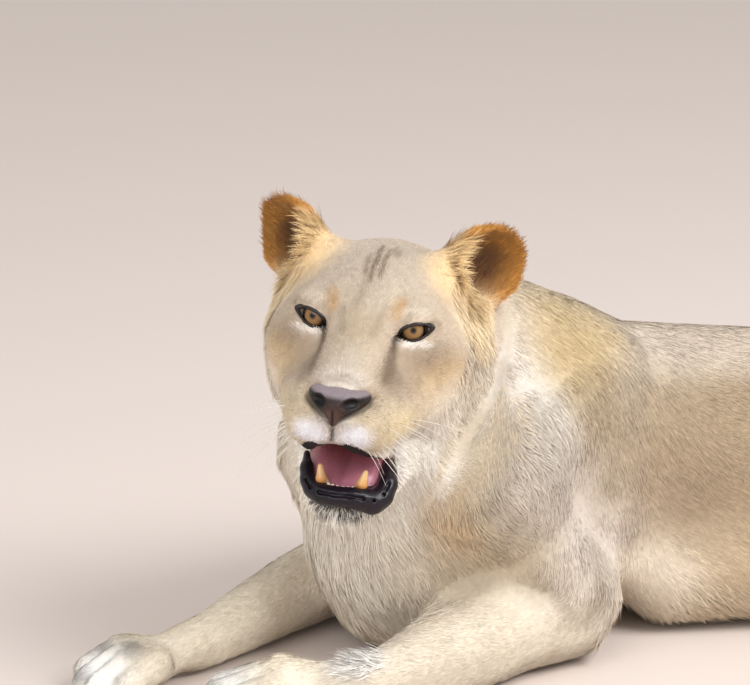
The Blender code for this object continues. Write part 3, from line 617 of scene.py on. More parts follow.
# Which shell each point is on, and whether it is the one that shows there.
shellOf = np.repeat(np.arange(len(shellSizes)), shellSizes)
gaps = np.stack([block.gapAt(skinPoints) for block in blocks], axis=1)
ownGap = np.take_along_axis(gaps, np.maximum(shellOf - 1, 0)[:, None], 1)[:, 0]
onTop = np.where(shellOf == 0, gaps.min(axis=1) > -0.008, ownGap <= 0.003)

# Which named part each skin point belongs to.
nodeTree = KDTree(sum(len(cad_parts[n].data.vertices) for n in fleshNodes))
nodeOf, count = [], 0
for number, name in enumerate(fleshNodes):
    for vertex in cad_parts[name].data.vertices:
        nodeTree.insert(vertex.co, count)
        nodeOf.append(number)
        count += 1
nodeTree.balance()
skinNode = np.array([nodeOf[nodeTree.find(point)[1]] for point in skinPoints])

edgeEnds = vectorsOf(mesh.edges, "vertices", 2, np.int32)
edgeCount = np.maximum(np.bincount(edgeEnds.ravel(), minlength=len(skinPoints)), 1)


def spread(values, rounds):
    # evens out a value over neighbouring skin points
    for _ in range(rounds):
        total = np.bincount(edgeEnds[:, 0], values[edgeEnds[:, 1]], len(values))
        total += np.bincount(edgeEnds[:, 1], values[edgeEnds[:, 0]], len(values))
        values = 0.3 * values + 0.7 * total / edgeCount
    return values


def spreadRows(values, rounds):
    return np.stack([spread(column, rounds) for column in values.T], axis=1)


def towards(start, end):
    return unit(boxMiddle(end) - boxMiddle(start))

# The lie of the coat on each part, before it is evened out.
down = np.array((0.0, 0.0, -1.0))
lieOf = {
    "neck": down + np.array((0.55, 0.25, 0)), "chest": down * 0.8 + np.array((0.65, 0, 0)),
    "belly": towards("belly", "hips") + down * 0.35, "hips": towards("belly", "hips") + down * 0.3,
    "tail_base": towards("hips", "tail_middle") + down * 0.3, "tail_middle": towards("tail_base", "tail_tip"),
    "tail_tip": towards("tail_middle", "tail_tip"),
}
for side, _ in sides:
    arm, paw = "forearm_" + side, "forepaw_" + side
    thigh, shank, foot = "thigh_" + side, "shank_" + side, "hind_foot_" + side
    lieOf["upper_arm_" + side] = down + 0.25 * towards("chest", "belly")
    lieOf[arm] = lieOf[paw] = towards(arm, paw)
    lieOf[thigh] = towards("hips", thigh) * 0.4 + down * 0.7 + towards("belly", "hips") * 0.5
    lieOf[shank] = towards(thigh, shank)
    lieOf[foot] = towards(shank, foot)

# Coat by part: length, width, lift in degrees, tufts for each square metre.
coatOf = {
    "head": (0.0080, 0.0008, 10, 620000), "lower_jaw": (0.014, 0.0009, 16, 500000),
    "ear": (0.0085, 0.0007, 17, 600000), "neck": (0.020, 0.0011, 8, 320000),
    "chest": (0.018, 0.0011, 7, 280000), "belly": (0.018, 0.0012, 6, 220000),
    "hips": (0.018, 0.0013, 6, 180000), "upper_arm": (0.016, 0.0011, 6, 270000),
    "forearm": (0.013, 0.0010, 8, 300000), "forepaw": (0.010, 0.0009, 12, 380000),
    "thigh": (0.018, 0.0013, 6, 180000), "shank": (0.014, 0.0012, 8, 200000),
    "hind_foot": (0.010, 0.0010, 12, 260000), "tail_base": (0.016, 0.0012, 8, 180000),
    "tail_middle": (0.015, 0.0012, 8, 180000), "tail_tip": (0.036, 0.0015, 18, 200000),
}


def headLie(points):
    # away from the nose over the face and cheeks, back and down under the jaw
    away = head.within(points) - np.array((0.125, 0.0, -0.060))
    away[:, 1] *= 1.25
    return unit(away @ head.rows)


isHead = np.array([kindOf(name) in ("head", "lower_jaw", "ear") for name in fleshNodes])[skinNode]
skinLie = np.array([unit(lieOf.get(name, down)) for name in fleshNodes])[skinNode]
skinLie[isHead] = headLie(skinPoints[isHead])
skinLie = spreadRows(skinLie, 60)
skinLie = unit(skinLie - skinNormals * (skinLie * skinNormals).sum(axis=1, keepdims=True))
skinCoat = spreadRows(np.array([coatOf[kindOf(name)] for name in fleshNodes])[skinNode], 25)


def colour(code):
    # a screen colour such as c8a070 as a linear triple
    parts = np.array([int(code[i:i + 2], 16) / 255 for i in (0, 2, 4)])
    return np.where(parts <= 0.04045, parts / 12.92, ((parts + 0.055) / 1.055) ** 2.4)


# The coat's colours on the body, and the patches laid over them.
bodyColours = {
    "head": "beac97", "lower_jaw": "ece5da", "ear": "c48a40", "neck": "e2d6c4",
    "chest": "c2b198", "belly": "af987b", "hips": "b39c7e", "upper_arm": "d5cabe",
    "forearm": "dacebb", "forepaw": "e8ddca", "thigh": "b8a284", "shank": "c7b698",
    "hind_foot": "e2d4bc", "tail_base": "c8ab84", "tail_middle": "c4a67e", "tail_tip": "32241c",
}
# Each patch: where its middle is in the head's frame, its half sizes, its colour, strength and softness.
facePatches = [
    ((-0.05, 0, 0.05), (0.10, 0.075, 0.06), "b8aa9a", 0.8, 0.5),          # grey-beige forehead
    ((0.02, 0, -0.005), (0.06, 0.020, 0.022), "a39177", 0.6, 0.7),        # between the eyes
    ((0.055, 0, -0.035), (0.06, 0.022, 0.02), "bbaf9f", 0.7, 0.6),        # bridge
    ((0.100, 0, -0.046), (0.03, 0.026, 0.012), "d2c8bc", 0.85, 0.5),      # above the nose
    ((0.03, 0.085, -0.035), (0.05, 0.032, 0.026), "79634f", 0.88, 0.7),   # taupe cheeks
    ((0.055, 0.045, -0.040), (0.035, 0.012, 0.024), "86735f", 0.8, 0.7),  # grey furrow beside the bridge
    ((-0.02, 0.105, -0.062), (0.06, 0.04, 0.032), "ccb189", 0.85, 0.6),   # tan of the cheek
    ((-0.04, 0.120, -0.100), (0.08, 0.05, 0.045), "eae0d2", 0.85, 0.6),   # pale ruff below it
    ((0.085, 0.040, -0.090), (0.045, 0.034, 0.026), "cdbc9f", 0.9, 0.5),  # whisker pads
    ((0.1045, 0.021, -0.0962), (0.0305, 0.0186, 0.0145), "eeeef5", 0.97, 0.45),
    ((0.055, 0.062, -0.105), (0.05, 0.022, 0.030), "dcc9a2", 0.85, 0.6),
    ((0.010, 0.070, -0.138), (0.09, 0.05, 0.035), "f3eee6", 0.95, 0.55),  # white under the cheek
    ((0.01, 0.059, -0.0155), (0.03, 0.0170, 0.0036), "e4dbd2", 1.0, 0.35),  # white under the eye
    ((0.00, 0.035, 0.0195), (0.03, 0.0070, 0.0105), "ab8350", 0.9, 0.6),  # golden brow spot
    ((0.00, 0.053, 0.0165), (0.03, 0.016, 0.0050), "d2c5b3", 0.7, 0.6),   # pale arch over the eye
    ((0.00, 0.027, 0.030), (0.03, 0.005, 0.011), "cbbda6", 0.6, 0.7),
    ((-0.095, 0.080, 0.050), (0.045, 0.034, 0.030), "ecca96", 0.85, 0.6),  # golden hair before the ear
    ((-0.090, 0.108, 0.012), (0.04, 0.022, 0.036), "f2dfba", 0.85, 0.6),
]
# Dark strokes on the face: where they start and end, how wide, their colour and strength, and which side.
faceStrokes = [
    ((-0.084, -0.003, 0.071), (-0.041, 0.000, 0.060), 0.0026, "5d4b36", 0.9, 0),
    ((-0.041, 0.000, 0.060), (-0.012, -0.001, 0.042), 0.0024, "5d4b36", 0.9, 0),
    ((-0.068, 0.008, 0.068), (-0.016, 0.009, 0.046), 0.0023, "66543d", 0.85, 0),
    ((-0.087, 0.011, 0.070), (-0.058, 0.019, 0.065), 0.0028, "78664f", 0.75, 0),
    ((-0.050, -0.009, 0.062), (-0.020, -0.008, 0.048), 0.0026, "78664f", 0.75, 0),
    ((-0.012, -0.001, 0.042), (0.012, -0.010, 0.016), 0.0040, "8d7b66", 0.5, 0),
    ((0.006, 0.020, 0.012), (0.022, 0.017, -0.004), 0.0046, "8d7b66", 0.5, 1),
    ((0.008, 0.038, -0.008), (0.020, 0.038, -0.020), 0.0030, "2a1e19", 0.95, 1),     # tear line
    ((0.020, 0.038, -0.020), (0.058, 0.040, -0.044), 0.0050, "705e4d", 0.8, 1),
    ((0.002, 0.074, 0.005), (-0.002, 0.079, 0.007), 0.0022, "4a3a30", 0.8, 1),       # outer corner
    ((0.120, 0.000, -0.086), (0.114, 0.000, -0.106), 0.0018, "1f1718", 0.95, 0),     # below the nose
    ((0.112, 0.004, -0.108), (0.092, 0.024, -0.120), 0.0046, "8c8488", 0.6, 1),      # edge of the upper lip
    ((0.092, 0.024, -0.120), (0.060, 0.040, -0.132), 0.0036, "6e6366", 0.5, 1),
]
for row, high in enumerate((-0.078, -0.086, -0.094, -0.102)):     # dark spots at the whiskers' roots
    for step in range(5):
        ahead, aside, up = 0.106 - step * 0.0125 - row * 0.001, 0.026 + step * 0.0062, high - step * 0.0012
        faceStrokes.append(((ahead, aside, up), (ahead - 0.004, aside + 0.003, up), 0.0020, "84735f", 0.55, 1))
# Patches of the body, from the bench's origin.
bodyPatches = [
    ((0.145, -0.088, 0.336), (0.072, 0.080, 0.105), "d9d1c6", 0.9, 0.5),     # white side of the neck
    ((0.225, 0.010, 0.372), (0.085, 0.075, 0.050), "d6c096", 0.85, 0.6),     # ochre before the withers
    ((0.218, -0.030, 0.345), (0.050, 0.060, 0.062), "bda578", 0.85, 0.6),
    ((0.252, -0.045, 0.285), (0.042, 0.050, 0.046), "ae9b7f", 0.8, 0.7),
    ((0.172, -0.170, 0.255), (0.085, 0.070, 0.080), "c0b6aa", 0.85, 0.6),    # shoulder
    ((0.068, -0.160, 0.205), (0.030, 0.050, 0.070), "d2aa74", 0.75, 0.7),    # tawny streak of the throat
    ((0.105, -0.140, 0.262), (0.030, 0.050, 0.050), "dccbb0", 0.8, 0.7),
    ((-0.030, -0.130, 0.150), (0.075, 0.080, 0.100), "efe8db", 0.92, 0.5),   # cream breast
    ((0.050, -0.150, 0.120), (0.050, 0.050, 0.060), "e2d4bd", 0.7, 0.6),
    ((0.440, -0.005, 0.055), (0.260, 0.080, 0.055), "c3ae90", 0.95, 0.5),    # pale belly
    ((0.308, -0.010, 0.070), (0.055, 0.070, 0.046), "efe3d2", 0.88, 0.6),
    ((0.320, 0.005, 0.195), (0.080, 0.060, 0.060), "a8917a", 0.55, 0.7),
    ((0.400, 0.030, 0.235), (0.200, 0.120, 0.085), "9f8b71", 0.8, 0.6),      # darker flank
    ((0.420, 0.120, 0.320), (0.240, 0.100, 0.030), "d6cabd", 0.6, 0.6),      # lit back
    # pale fur of the right foreleg, whitened further as painted light lifting the shade that falls on it
    ((-0.150, -0.090, 0.060), (0.150, 0.062, 0.070), "f4ead6", 0.85, 0.6),
    ((-0.300, -0.190, 0.020), (0.040, 0.070, 0.045), "f3f1ee", 0.9, 0.5),    # white toes
    ((-0.160, -0.245, 0.020), (0.045, 0.060, 0.045), "f3f1ee", 0.9, 0.5),
    ((-0.018, -0.255, 0.070), (0.030, 0.030, 0.030), "f6f3ee", 0.9, 0.5),
]
toeSpots = (
    (-0.318, -0.205, 0.034), (-0.292, -0.150, 0.040), (-0.262, -0.175, 0.052),
    (-0.175, -0.265, 0.036), (-0.135, -0.215, 0.048),
)
bodyPatches += [(spot, (0.012, 0.014, 0.012), "77706d", 0.65, 0.8) for spot in toeSpots]
# Painted shade in the body's creases and folds: start, end, radius, colour and strength, from the bench's
# origin.
paintedShadeStrokes = [
    ((0.118, -0.108, 0.340), (0.098, -0.142, 0.255), 0.016, "cbbda8", 0.7),          # painted shade toning down the light on the fold behind the cheek
    ((0.262, -0.045, 0.200), (0.245, -0.114, 0.073), 0.014, "9b8a74", 0.55),         # painted shade in the crease behind the upper arm
    ((0.276, -0.028, 0.244), (0.262, -0.045, 0.200), 0.011, "9c8a72", 0.5),
    ((0.128, -0.175, 0.160), (0.185, -0.150, 0.114), 0.008, "9c8b74", 0.45),         # painted shade in the crease above the forearm
    ((0.185, -0.150, 0.114), (0.237, -0.119, 0.057), 0.008, "93826b", 0.45),
]


def patchWeight(local, middle, halfSizes, softness):
    reach = np.linalg.norm((local - np.array(middle)) / np.array(halfSizes), axis=1)
    return smoothstep(1 + softness, 1 - softness, reach)


def mouthDepth(points):
    # negative inside the open mouth
    ahead, aside, up = np.moveaxis(head.within(points), -1, 0)
    _, jawAside, jawUp = np.moveaxis(jaw.within(points), -1, 0)
    roof = up + 0.108 + 14 * aside ** 2 + 0.25 * np.maximum(0.02 - ahead, 0)
    room = np.interp(ahead, (-0.06, -0.02, 0.03, 0.06), (0.020, 0.036, 0.052, 0.050))
    return np.maximum(np.maximum(roof, -0.109 - jawUp), np.maximum(np.abs(jawAside) - room, -0.050 - ahead))


def painted(found, tint, weight):
    # colours moved towards a tint by each one's weight
    return found * (1 - weight[:, None]) + colour(tint) * weight[:, None]


def coatColour(points, node, found, onHead):
    # the coat's colour at points, over their parts' evened-out colour and their share in the head
    local, mirrored, place = head.within(points), mirroredHead(points), inBench(points)
    squeezed = np.array((0.15, 1, 1))
    for middle, halfSizes, tint, strength, softness in facePatches:
        found = painted(found, tint, patchWeight(mirrored, middle, halfSizes, softness) * strength * onHead)
    for start, end, radius, tint, strength, both in faceStrokes:
        own = (mirrored if both else local) * squeezed
        reach = cone(own, start * squeezed, end * squeezed, radius, radius)
        found = painted(found, tint, smoothstep(radius * 0.6, -radius * 0.6, reach) * strength * onHead)
    for middle, halfSizes, tint, strength, softness in bodyPatches:
        found = painted(found, tint, patchWeight(place, middle, halfSizes, softness) * strength * (1 - onHead))
    # painted shade in the body's creases and folds
    for start, end, radius, tint, strength in paintedShadeStrokes:
        reach = cone(place, start, end, radius, radius)
        found = painted(found, tint, smoothstep(radius, -radius, reach) * strength * (1 - onHead))
    for name, side in sides:
        place, onEar = ears[side].within(points), node == fleshNodes.index("ear_" + name)
        cup = np.linalg.norm((place - (0.0, 0.0, -0.006)) / (0.05, 0.034, 0.036), axis=1)
        rim = np.linalg.norm(place[:, 1:], axis=1)
        found = painted(found, "4a2a16", smoothstep(1.05, 0.45, cup) * onEar * (place[:, 0] > -0.022))
        found = painted(found, "e0bf86", smoothstep(0.046, 0.054, rim) * onEar * 0.6)
        found = painted(found, "4a3c34", smoothstep(-0.016, -0.026, place[:, 0]) * onEar)
    return found


partColour = spreadRows(np.array([colour(bodyColours[kindOf(name)]) for name in fleshNodes])[skinNode], 40)
headShare = spread(isHead.astype(float), 120)
skinColour = spreadRows(coatColour(skinPoints, skinNode, partColour, headShare), 3)
inMouth = smoothstep(0.0065, 0.0045, mouthDepth(skinPoints)) * (head.within(skinPoints)[:, 0] < 0.105)
# the mouth's lining: black gum at the front, and at the back the lining's red deepened to dark red as painted
# shade
gumAndThroatShade = np.where(head.within(skinPoints)[:, :1] > 0.02, colour("1d1519"), colour("3a1618"))
undercoat = skinColour * 0.92 * (1 - inMouth[:, None]) + gumAndThroatShade * inMouth[:, None]


def paintPoints(piece, tints, name="coat"):
    values = np.ones((len(piece.data.vertices), 4), np.float32)
    values[:, :3] = tints
    layer = piece.data.attributes.new(name, "FLOAT_COLOR", "POINT")
    layer.data.foreach_set("color", values.ravel())


paintPoints(skin, undercoat)


# Materials.
def newMaterial(name, roughness, **values):
    made = bpy.data.materials.new(name)
    made.use_nodes = True
    surface = made.node_tree.nodes["Principled BSDF"]
    surface.inputs["Roughness"].default_value = roughness
    for socket, value in values.items():
        surface.inputs[socket.replace("_", " ")].default_value = value
    return made, made.node_tree, surface


def addNode(tree, name, place, kind=None, **values):
    made = tree.nodes.new(kind or "ShaderNode" + name)
    made.location = place
    for name, value in values.items():
        if name in made.inputs:
            made.inputs[name].default_value = value
        else:
            setattr(made, name, value)
    return made


def mottleGroup():
    # lightens and darkens a tint in fine and broad flecks, and raises a grain
    group = bpy.data.node_groups.new("mottle", "ShaderNodeTree")
    group.interface.new_socket("Tint", in_out="INPUT", socket_type="NodeSocketColor")
    for name in ("Scale", "Low", "High", "Pebble", "Relief"):
        group.interface.new_socket(name, in_out="INPUT", socket_type="NodeSocketFloat")
    group.interface.new_socket("Tint", in_out="OUTPUT", socket_type="NodeSocketColor")
    group.interface.new_socket("Normal", in_out="OUTPUT", socket_type="NodeSocketVector")
    given = addNode(group, "", (-900, 0), kind="NodeGroupInput")
    made = addNode(group, "", (600, 0), kind="NodeGroupOutput")
    place = addNode(group, "TexCoord", (-900, -300))
    fine = addNode(group, "TexNoise", (-600, -200), Detail=4.0)
    broad = addNode(group, "TexNoise", (-600, 200), Scale=11.0, Detail=3.0)
    cells = addNode(group, "TexVoronoi", (-600, -500))
    shade = addNode(group, "MapRange", (-350, -100))
    drift = addNode(group, "MapRange", (-350, 200))
    drift.inputs["To Min"].default_value, drift.inputs["To Max"].default_value = 0.90, 1.08
    both = addNode(group, "Math", (-150, 100), operation="MULTIPLY")
    tint = addNode(group, "VectorMath", (50, 100), operation="MULTIPLY")
    height = addNode(group, "Math", (-150, -400), operation="MULTIPLY_ADD")
    relief = addNode(group, "Bump", (100, -300), Strength=0.6)
    for source, output, target, socket in (
        (place, "Object", fine, "Vector"), (place, "Object", broad, "Vector"),
        (place, "Object", cells, "Vector"), (given, "Scale", fine, "Scale"),
        (given, "Scale", cells, "Scale"), (fine, "Fac", shade, "Value"),
        (given, "Low", shade, "To Min"), (given, "High", shade, "To Max"),
        (broad, "Fac", drift, "Value"), (shade, "Result", both, 0), (drift, "Result", both, 1),
        (given, "Tint", tint, 0), (both, "Value", tint, 1), (cells, "Distance", height, 0),
        (given, "Pebble", height, 1), (fine, "Fac", height, 2), (height, "Value", relief, "Height"),
        (given, "Relief", relief, "Distance"), (tint, "Vector", made, "Tint"),
        (relief, "Normal", made, "Normal"),
    ):
        group.links.new(source.outputs[output], target.inputs[socket])
    return group


mottle = mottleGroup()


def mottled(name, look, **values):
    # a material tinted by the mesh's own colours
    made, tree, surface = newMaterial(name, look["roughness"], **values)
    tint = addNode(tree, "Attribute", (-700, 200), attribute_name="coat")
    flecks = addNode(tree, "Group", (-400, 100), node_tree=mottle)
    for socket in ("Scale", "Low", "High", "Pebble", "Relief"):
        flecks.inputs[socket].default_value = look[socket.lower()]
    tree.links.new(tint.outputs["Color"], flecks.inputs["Tint"])
    tree.links.new(flecks.outputs["Tint"], surface.inputs["Base Color"])
    if look["relief"]:
        tree.links.new(flecks.outputs["Normal"], surface.inputs["Normal"])
    return made


furLook = {"roughness": 0.72, "scale": 140, "low": 0.82, "high": 1.16, "pebble": 0, "relief": 0}
furMaterial = mottled("fur", furLook, Specular_IOR_Level=0.22, Sheen_Weight=0.15, Sheen_Roughness=0.5)
underLook = dict(furLook, roughness=0.8, relief=0.0015)
skinMaterial = mottled("undercoat", underLook, Specular_IOR_Level=0.22)
noseLook = {"roughness": 0.50, "scale": 620, "low": 0.55, "high": 1.45, "pebble": 1.2, "relief": 0.0006}
noseMaterial = mottled("nose_leather", noseLook, Specular_IOR_Level=0.3, Coat_Weight=0.05, Coat_Roughness=0.3)
lipLook = {"roughness": 0.36, "scale": 380, "low": 0.7, "high": 1.5, "pebble": 0.3, "relief": 0.0006}
lipMaterial = mottled("lip", lipLook, Specular_IOR_Level=0.2, Coat_Weight=0.22, Coat_Roughness=0.14)
tongueLook = {"roughness": 0.34, "scale": 520, "low": 0.86, "high": 1.14, "pebble": 0.8, "relief": 0.0007}
tongueMaterial = mottled("tongue", tongueLook, Coat_Weight=0.35, Coat_Roughness=0.2, Subsurface_Weight=0.1)
toothLook = {"roughness": 0.28, "scale": 260, "low": 0.8, "high": 1.15, "pebble": 0, "relief": 0.0003}
toothMaterial = mottled("tooth", toothLook, Coat_Weight=0.4, Coat_Roughness=0.1)
rimLook = {"roughness": 0.45, "scale": 400, "low": 0.7, "high": 1.3, "pebble": 0, "relief": 0.0003}
rimMaterial = mottled("bare_rim", rimLook)
skin.data.materials.append(skinMaterial)


# Tufts.
faceNode = skinNode[skinFaces[:, 0]]
swayWaves = np.random.default_rng(3).normal(0, 1, (3, 7))


def sway(points, size):
    # a slow wander over the body, about -1 to 1, that gathers hairs into locks
    return np.sin(points @ (swayWaves * 3.7 / size) + np.arange(7)).sum(axis=1) / 2.6


def growth(faces, density):
    # how many hairs some skin faces bear, by their area and their density
    corner = skinPoints[skinFaces[faces]]
    area = np.linalg.norm(np.cross(corner[:, 1] - corner[:, 0], corner[:, 2] - corner[:, 0]), axis=1) / 2
    return area * density[skinFaces[faces]].mean(axis=1)


def scattered(faces, count, seed, density):
    # roots spread over some skin faces by their density
    rng = np.random.default_rng(seed)
    steps = np.cumsum(growth(faces, density))
    spots = (np.arange(count) + rng.random(count)) / count * steps[-1]
    chosen = faces[np.minimum(np.searchsorted(steps, spots), len(faces) - 1)]
    a, b = np.sqrt(rng.random(count)), rng.random(count)
    share = np.stack([1 - a, a * (1 - b), a * b], axis=1)[:, :, None]
    take = lambda values: (values[skinFaces[chosen]] * share).sum(axis=1)
    roots = take(skinPoints)
    tint = coatColour(roots, faceNode[chosen], take(partColour), take(headShare[:, None])[:, 0])
    return {
        "root": roots, "normal": unit(take(skinNormals)), "lie": take(skinLie), "coat": take(skinCoat),
        "tint": tint * 0.7 + take(skinColour) * 0.3, "map": (skinMap[chosen] * share).sum(axis=1),
        "rng": rng, "count": count,
    }


def limited(wanted, most):
    count = min(wanted, most)
    return count


def across(ways, around, angles):
    # ways turned about an axis by angles
    cos, sin = np.cos(angles)[:, None], np.sin(angles)[:, None]
    return ways * cos + np.cross(around, ways) * sin


# How the short coat is laid: its spread and roll in degrees, how deep it roots, its shades, how low it may
# reach, the size of a tuft's own spot on the skin's map, and how far its normals keep to its own faces.
tuft = {
    "spray": 9, "roll": 8, "sink": 0.0006, "rootShade": 0.93, "tipShade": 1.06, "lowest": 0.0006,
    "spot": 0.003, "own": 0.12,
}


def tuftPiece(name, roots):
    rng, count = roots["rng"], roots["count"]
    length, width, lift = roots["coat"][:, 0], roots["coat"][:, 1], np.radians(roots["coat"][:, 2])
    length = length * rng.uniform(0.7, 1.2, count)
    width = width * rng.uniform(0.75, 1.25, count)
    normal = roots["normal"]
    lie = unit(roots["lie"] - normal * (roots["lie"] * normal).sum(axis=1, keepdims=True))
    wander = 9 * sway(roots["root"], 0.030) + 7 * sway(roots["root"] + 0.3, 0.011)
    lie = across(lie, normal, np.radians(rng.normal(0, tuft["spray"], count) + wander))
    first, second = lift * rng.uniform(0.6, 1.4, count), lift * rng.uniform(-0.1, 0.5, count)
    start = roots["root"] - normal * tuft["sink"]
    rise = lambda angle: lie * np.cos(angle)[:, None] + normal * np.sin(angle)[:, None]
    middle = start + rise(first) * (length * 0.42)[:, None]
    tip = middle + rise(second) * (length * 0.58)[:, None]
    side = across(np.cross(normal, lie), lie, np.radians(rng.normal(0, tuft["roll"], count)))
    half = side * (width / 2)[:, None]
    points = np.stack([start, middle - half, middle + half, tip], axis=1)
    shade = roots["tint"] * rng.normal(1.0, 0.08, count).clip(0.7, 1.35)[:, None]
    tints = np.stack([shade * tuft["rootShade"], shade, shade, shade * tuft["tipShade"]], axis=1)
    return tuftObject(name, points, [(0, 1, 2), (2, 1, 3)], tints, roots)


def tuftObject(name, points, shape, tints, roots):
    # one piece from many tufts of the same faces
    count, perTuft = points.shape[:2]
    faces = (np.arange(count)[:, None, None] * perTuft + np.array(shape)).reshape(-1, 3)
    points = points.reshape(-1, 3)
    points[:, 2] = np.maximum(points[:, 2], tuft["lowest"])
    made = newObject(name, points, faces, furMaterial)
    paintPoints(made, tints.reshape(-1, 3))
    corner = np.array(((0.5, 0.0), (0.0, 0.5), (1.0, 0.5), (0.5, 1.0)))
    if perTuft > 4:
        corner = np.stack([np.arange(perTuft) % 2, np.linspace(0, 1, perTuft)], axis=1)
    spots = (roots["map"][:, None, :] + (corner[None] - 0.5) * tuft["spot"]).reshape(-1, 2)
    layer = made.data.uv_layers.new(name="OFBake")
    layer.data.foreach_set("uv", spots[faces.ravel()].astype(np.float32).ravel())
    made.data.shade_smooth()
    made.data.update()
    flat = vectorsOf(made.data.vertices, "normal", 3)
    toSkin = np.repeat(roots["normal"], perTuft, axis=0)
    flat = flat * np.where((flat * toSkin).sum(axis=1, keepdims=True) < 0, -1, 1)
    made.data.normals_split_custom_set_from_vertices(unit(flat * tuft["own"] + toSkin * (1 - tuft["own"])))
    return made


coatPieces = {
    "coat_head_left": (("head",), 1), "coat_head_right": (("head",), -1), "coat_jaw": (("lower_jaw",), 0),
    "coat_ears": (("ear_left", "ear_right"), 0), "coat_neck": (("neck",), 0),
    "coat_chest": (("chest",), 0), "coat_flank": (("belly",), 0), "coat_rump": (("hips",), 0),
    "coat_shoulders": (("upper_arm_left", "upper_arm_right"), 0),
    "coat_forelegs": (("forearm_left", "forearm_right", "forepaw_left", "forepaw_right"), 0),
    "coat_thighs": (("thigh_left", "thigh_right"), 0),
    "coat_shanks": (("shank_left", "shank_right", "hind_foot_left", "hind_foot_right"), 0),
    "coat_tail": (("tail_base", "tail_middle"), 0), "coat_tail_tuft": (("tail_tip",), 0),
}
bare = np.minimum(mouthDepth(skinPoints) - 0.004, 1.0)
onFace = head.within(skinPoints)[:, 0] > -0.03
for _, side in sides:
    bare = np.minimum(bare, np.where(onFace, lidOpening(skinPoints, side) - 0.0012, 1.0))
faceOnTop = onTop[skinFaces].all(axis=1) & (bare[skinFaces].min(axis=1) > 0)
faceSide = head.within(skinPoints[skinFaces[:, 0]])[:, 1]
most = {"tufts": 98000, "locks": 32000}
coats = []
for seed, (name, (nodes, half)) in enumerate(coatPieces.items()):
    chosen = np.isin(faceNode, [fleshNodes.index(n) for n in nodes]) & faceOnTop
    faces = np.nonzero(chosen & (faceSide * half > 0) if half else chosen)[0]
    count = limited(int(growth(faces, skinCoat[:, 3]).sum()), most["tufts"])
    print(name, "tufts", count)
    coats.append(tuftPiece(name, scattered(faces, count, 100 + seed, skinCoat[:, 3])))


def strandPiece(name, roots, look):
    # longer locks that bend over and hang
    rng, count, levels = roots["rng"], roots["count"], 4
    length = look["length"] * rng.uniform(0.6, 1.2, count)
    width = look["width"] * rng.uniform(0.7, 1.3, count)
    normal = roots["normal"]
    lie = roots["lie"] if look["lie"] is None else look["lie"](roots["root"])
    lie = unit(lie - normal * (lie * normal).sum(axis=1, keepdims=True))
    wander = look["wander"] * (sway(roots["root"], 0.020) + 0.7 * sway(roots["root"] + 0.2, 0.007))
    lie = across(lie, normal, np.radians(wander + rng.normal(0, 6, count)))
    lift = np.radians(look["lift"] * rng.uniform(0.6, 1.3, count))[:, None]
    way, spot = lie * np.cos(lift) + normal * np.sin(lift), roots["root"] - normal * 0.001
    side = across(np.cross(normal, lie), lie, np.radians(rng.normal(0, 12, count)))
    rows = [spot]
    for level in range(levels):
        spot = spot + way * (length / levels)[:, None]
        half = side * (width / 2 * (1 - level / levels) ** 0.7)[:, None]
        rows += [spot - half, spot + half] if level < levels - 1 else [spot]
        way = unit(way + down * look["droop"] + lie * 0.12 - normal * 0.05)
    points = np.stack(rows, axis=1)
    perTuft = points.shape[1]
    shape = [(0, 1, 2)]
    for first in range(1, perTuft - 3, 2):
        shape += [(first + 1, first, first + 2), (first + 1, first + 2, first + 3)]
    shape.append((perTuft - 2, perTuft - 3, perTuft - 1))
    tint = roots["tint"] * (1 - look["share"]) + colour(look["tint"]) * look["share"]
    shade = tint * rng.normal(1.0, 0.09, count).clip(0.7, 1.3)[:, None]
    shades = np.linspace(look["rootShade"], look["tipShade"], perTuft)[None, :, None]
    return tuftObject(name, points, shape, shade[:, None] * shades, roots)


def inEar(points):
    # places in the ears' own frames, with the outer side positive
    both = np.stack([ear.within(points) * (1, side, 1) for side, ear in ears.items()])
    near = np.linalg.norm(both, axis=2).argmin(axis=0)
    return both[near, np.arange(len(points))]


def outward(forward, aside, up):
    # a way along the head, with its sideways part to each side's own
    def way(points):
        side = np.sign(head.within(points)[:, 1])[:, None]
        return forward * head.forward + aside * head.left * side + up * head.up
    return way


# Long hair: how wide it is, how it stands and hangs, its tint and how many for a square metre.
hairLook = {
    "width": 0.0007, "lift": 20, "droop": 0.08, "wander": 12, "tint": "e8dcc8", "share": 0.35, "lie": None,
    "rootShade": 0.88, "tipShade": 1.06, "density": 520000,
}
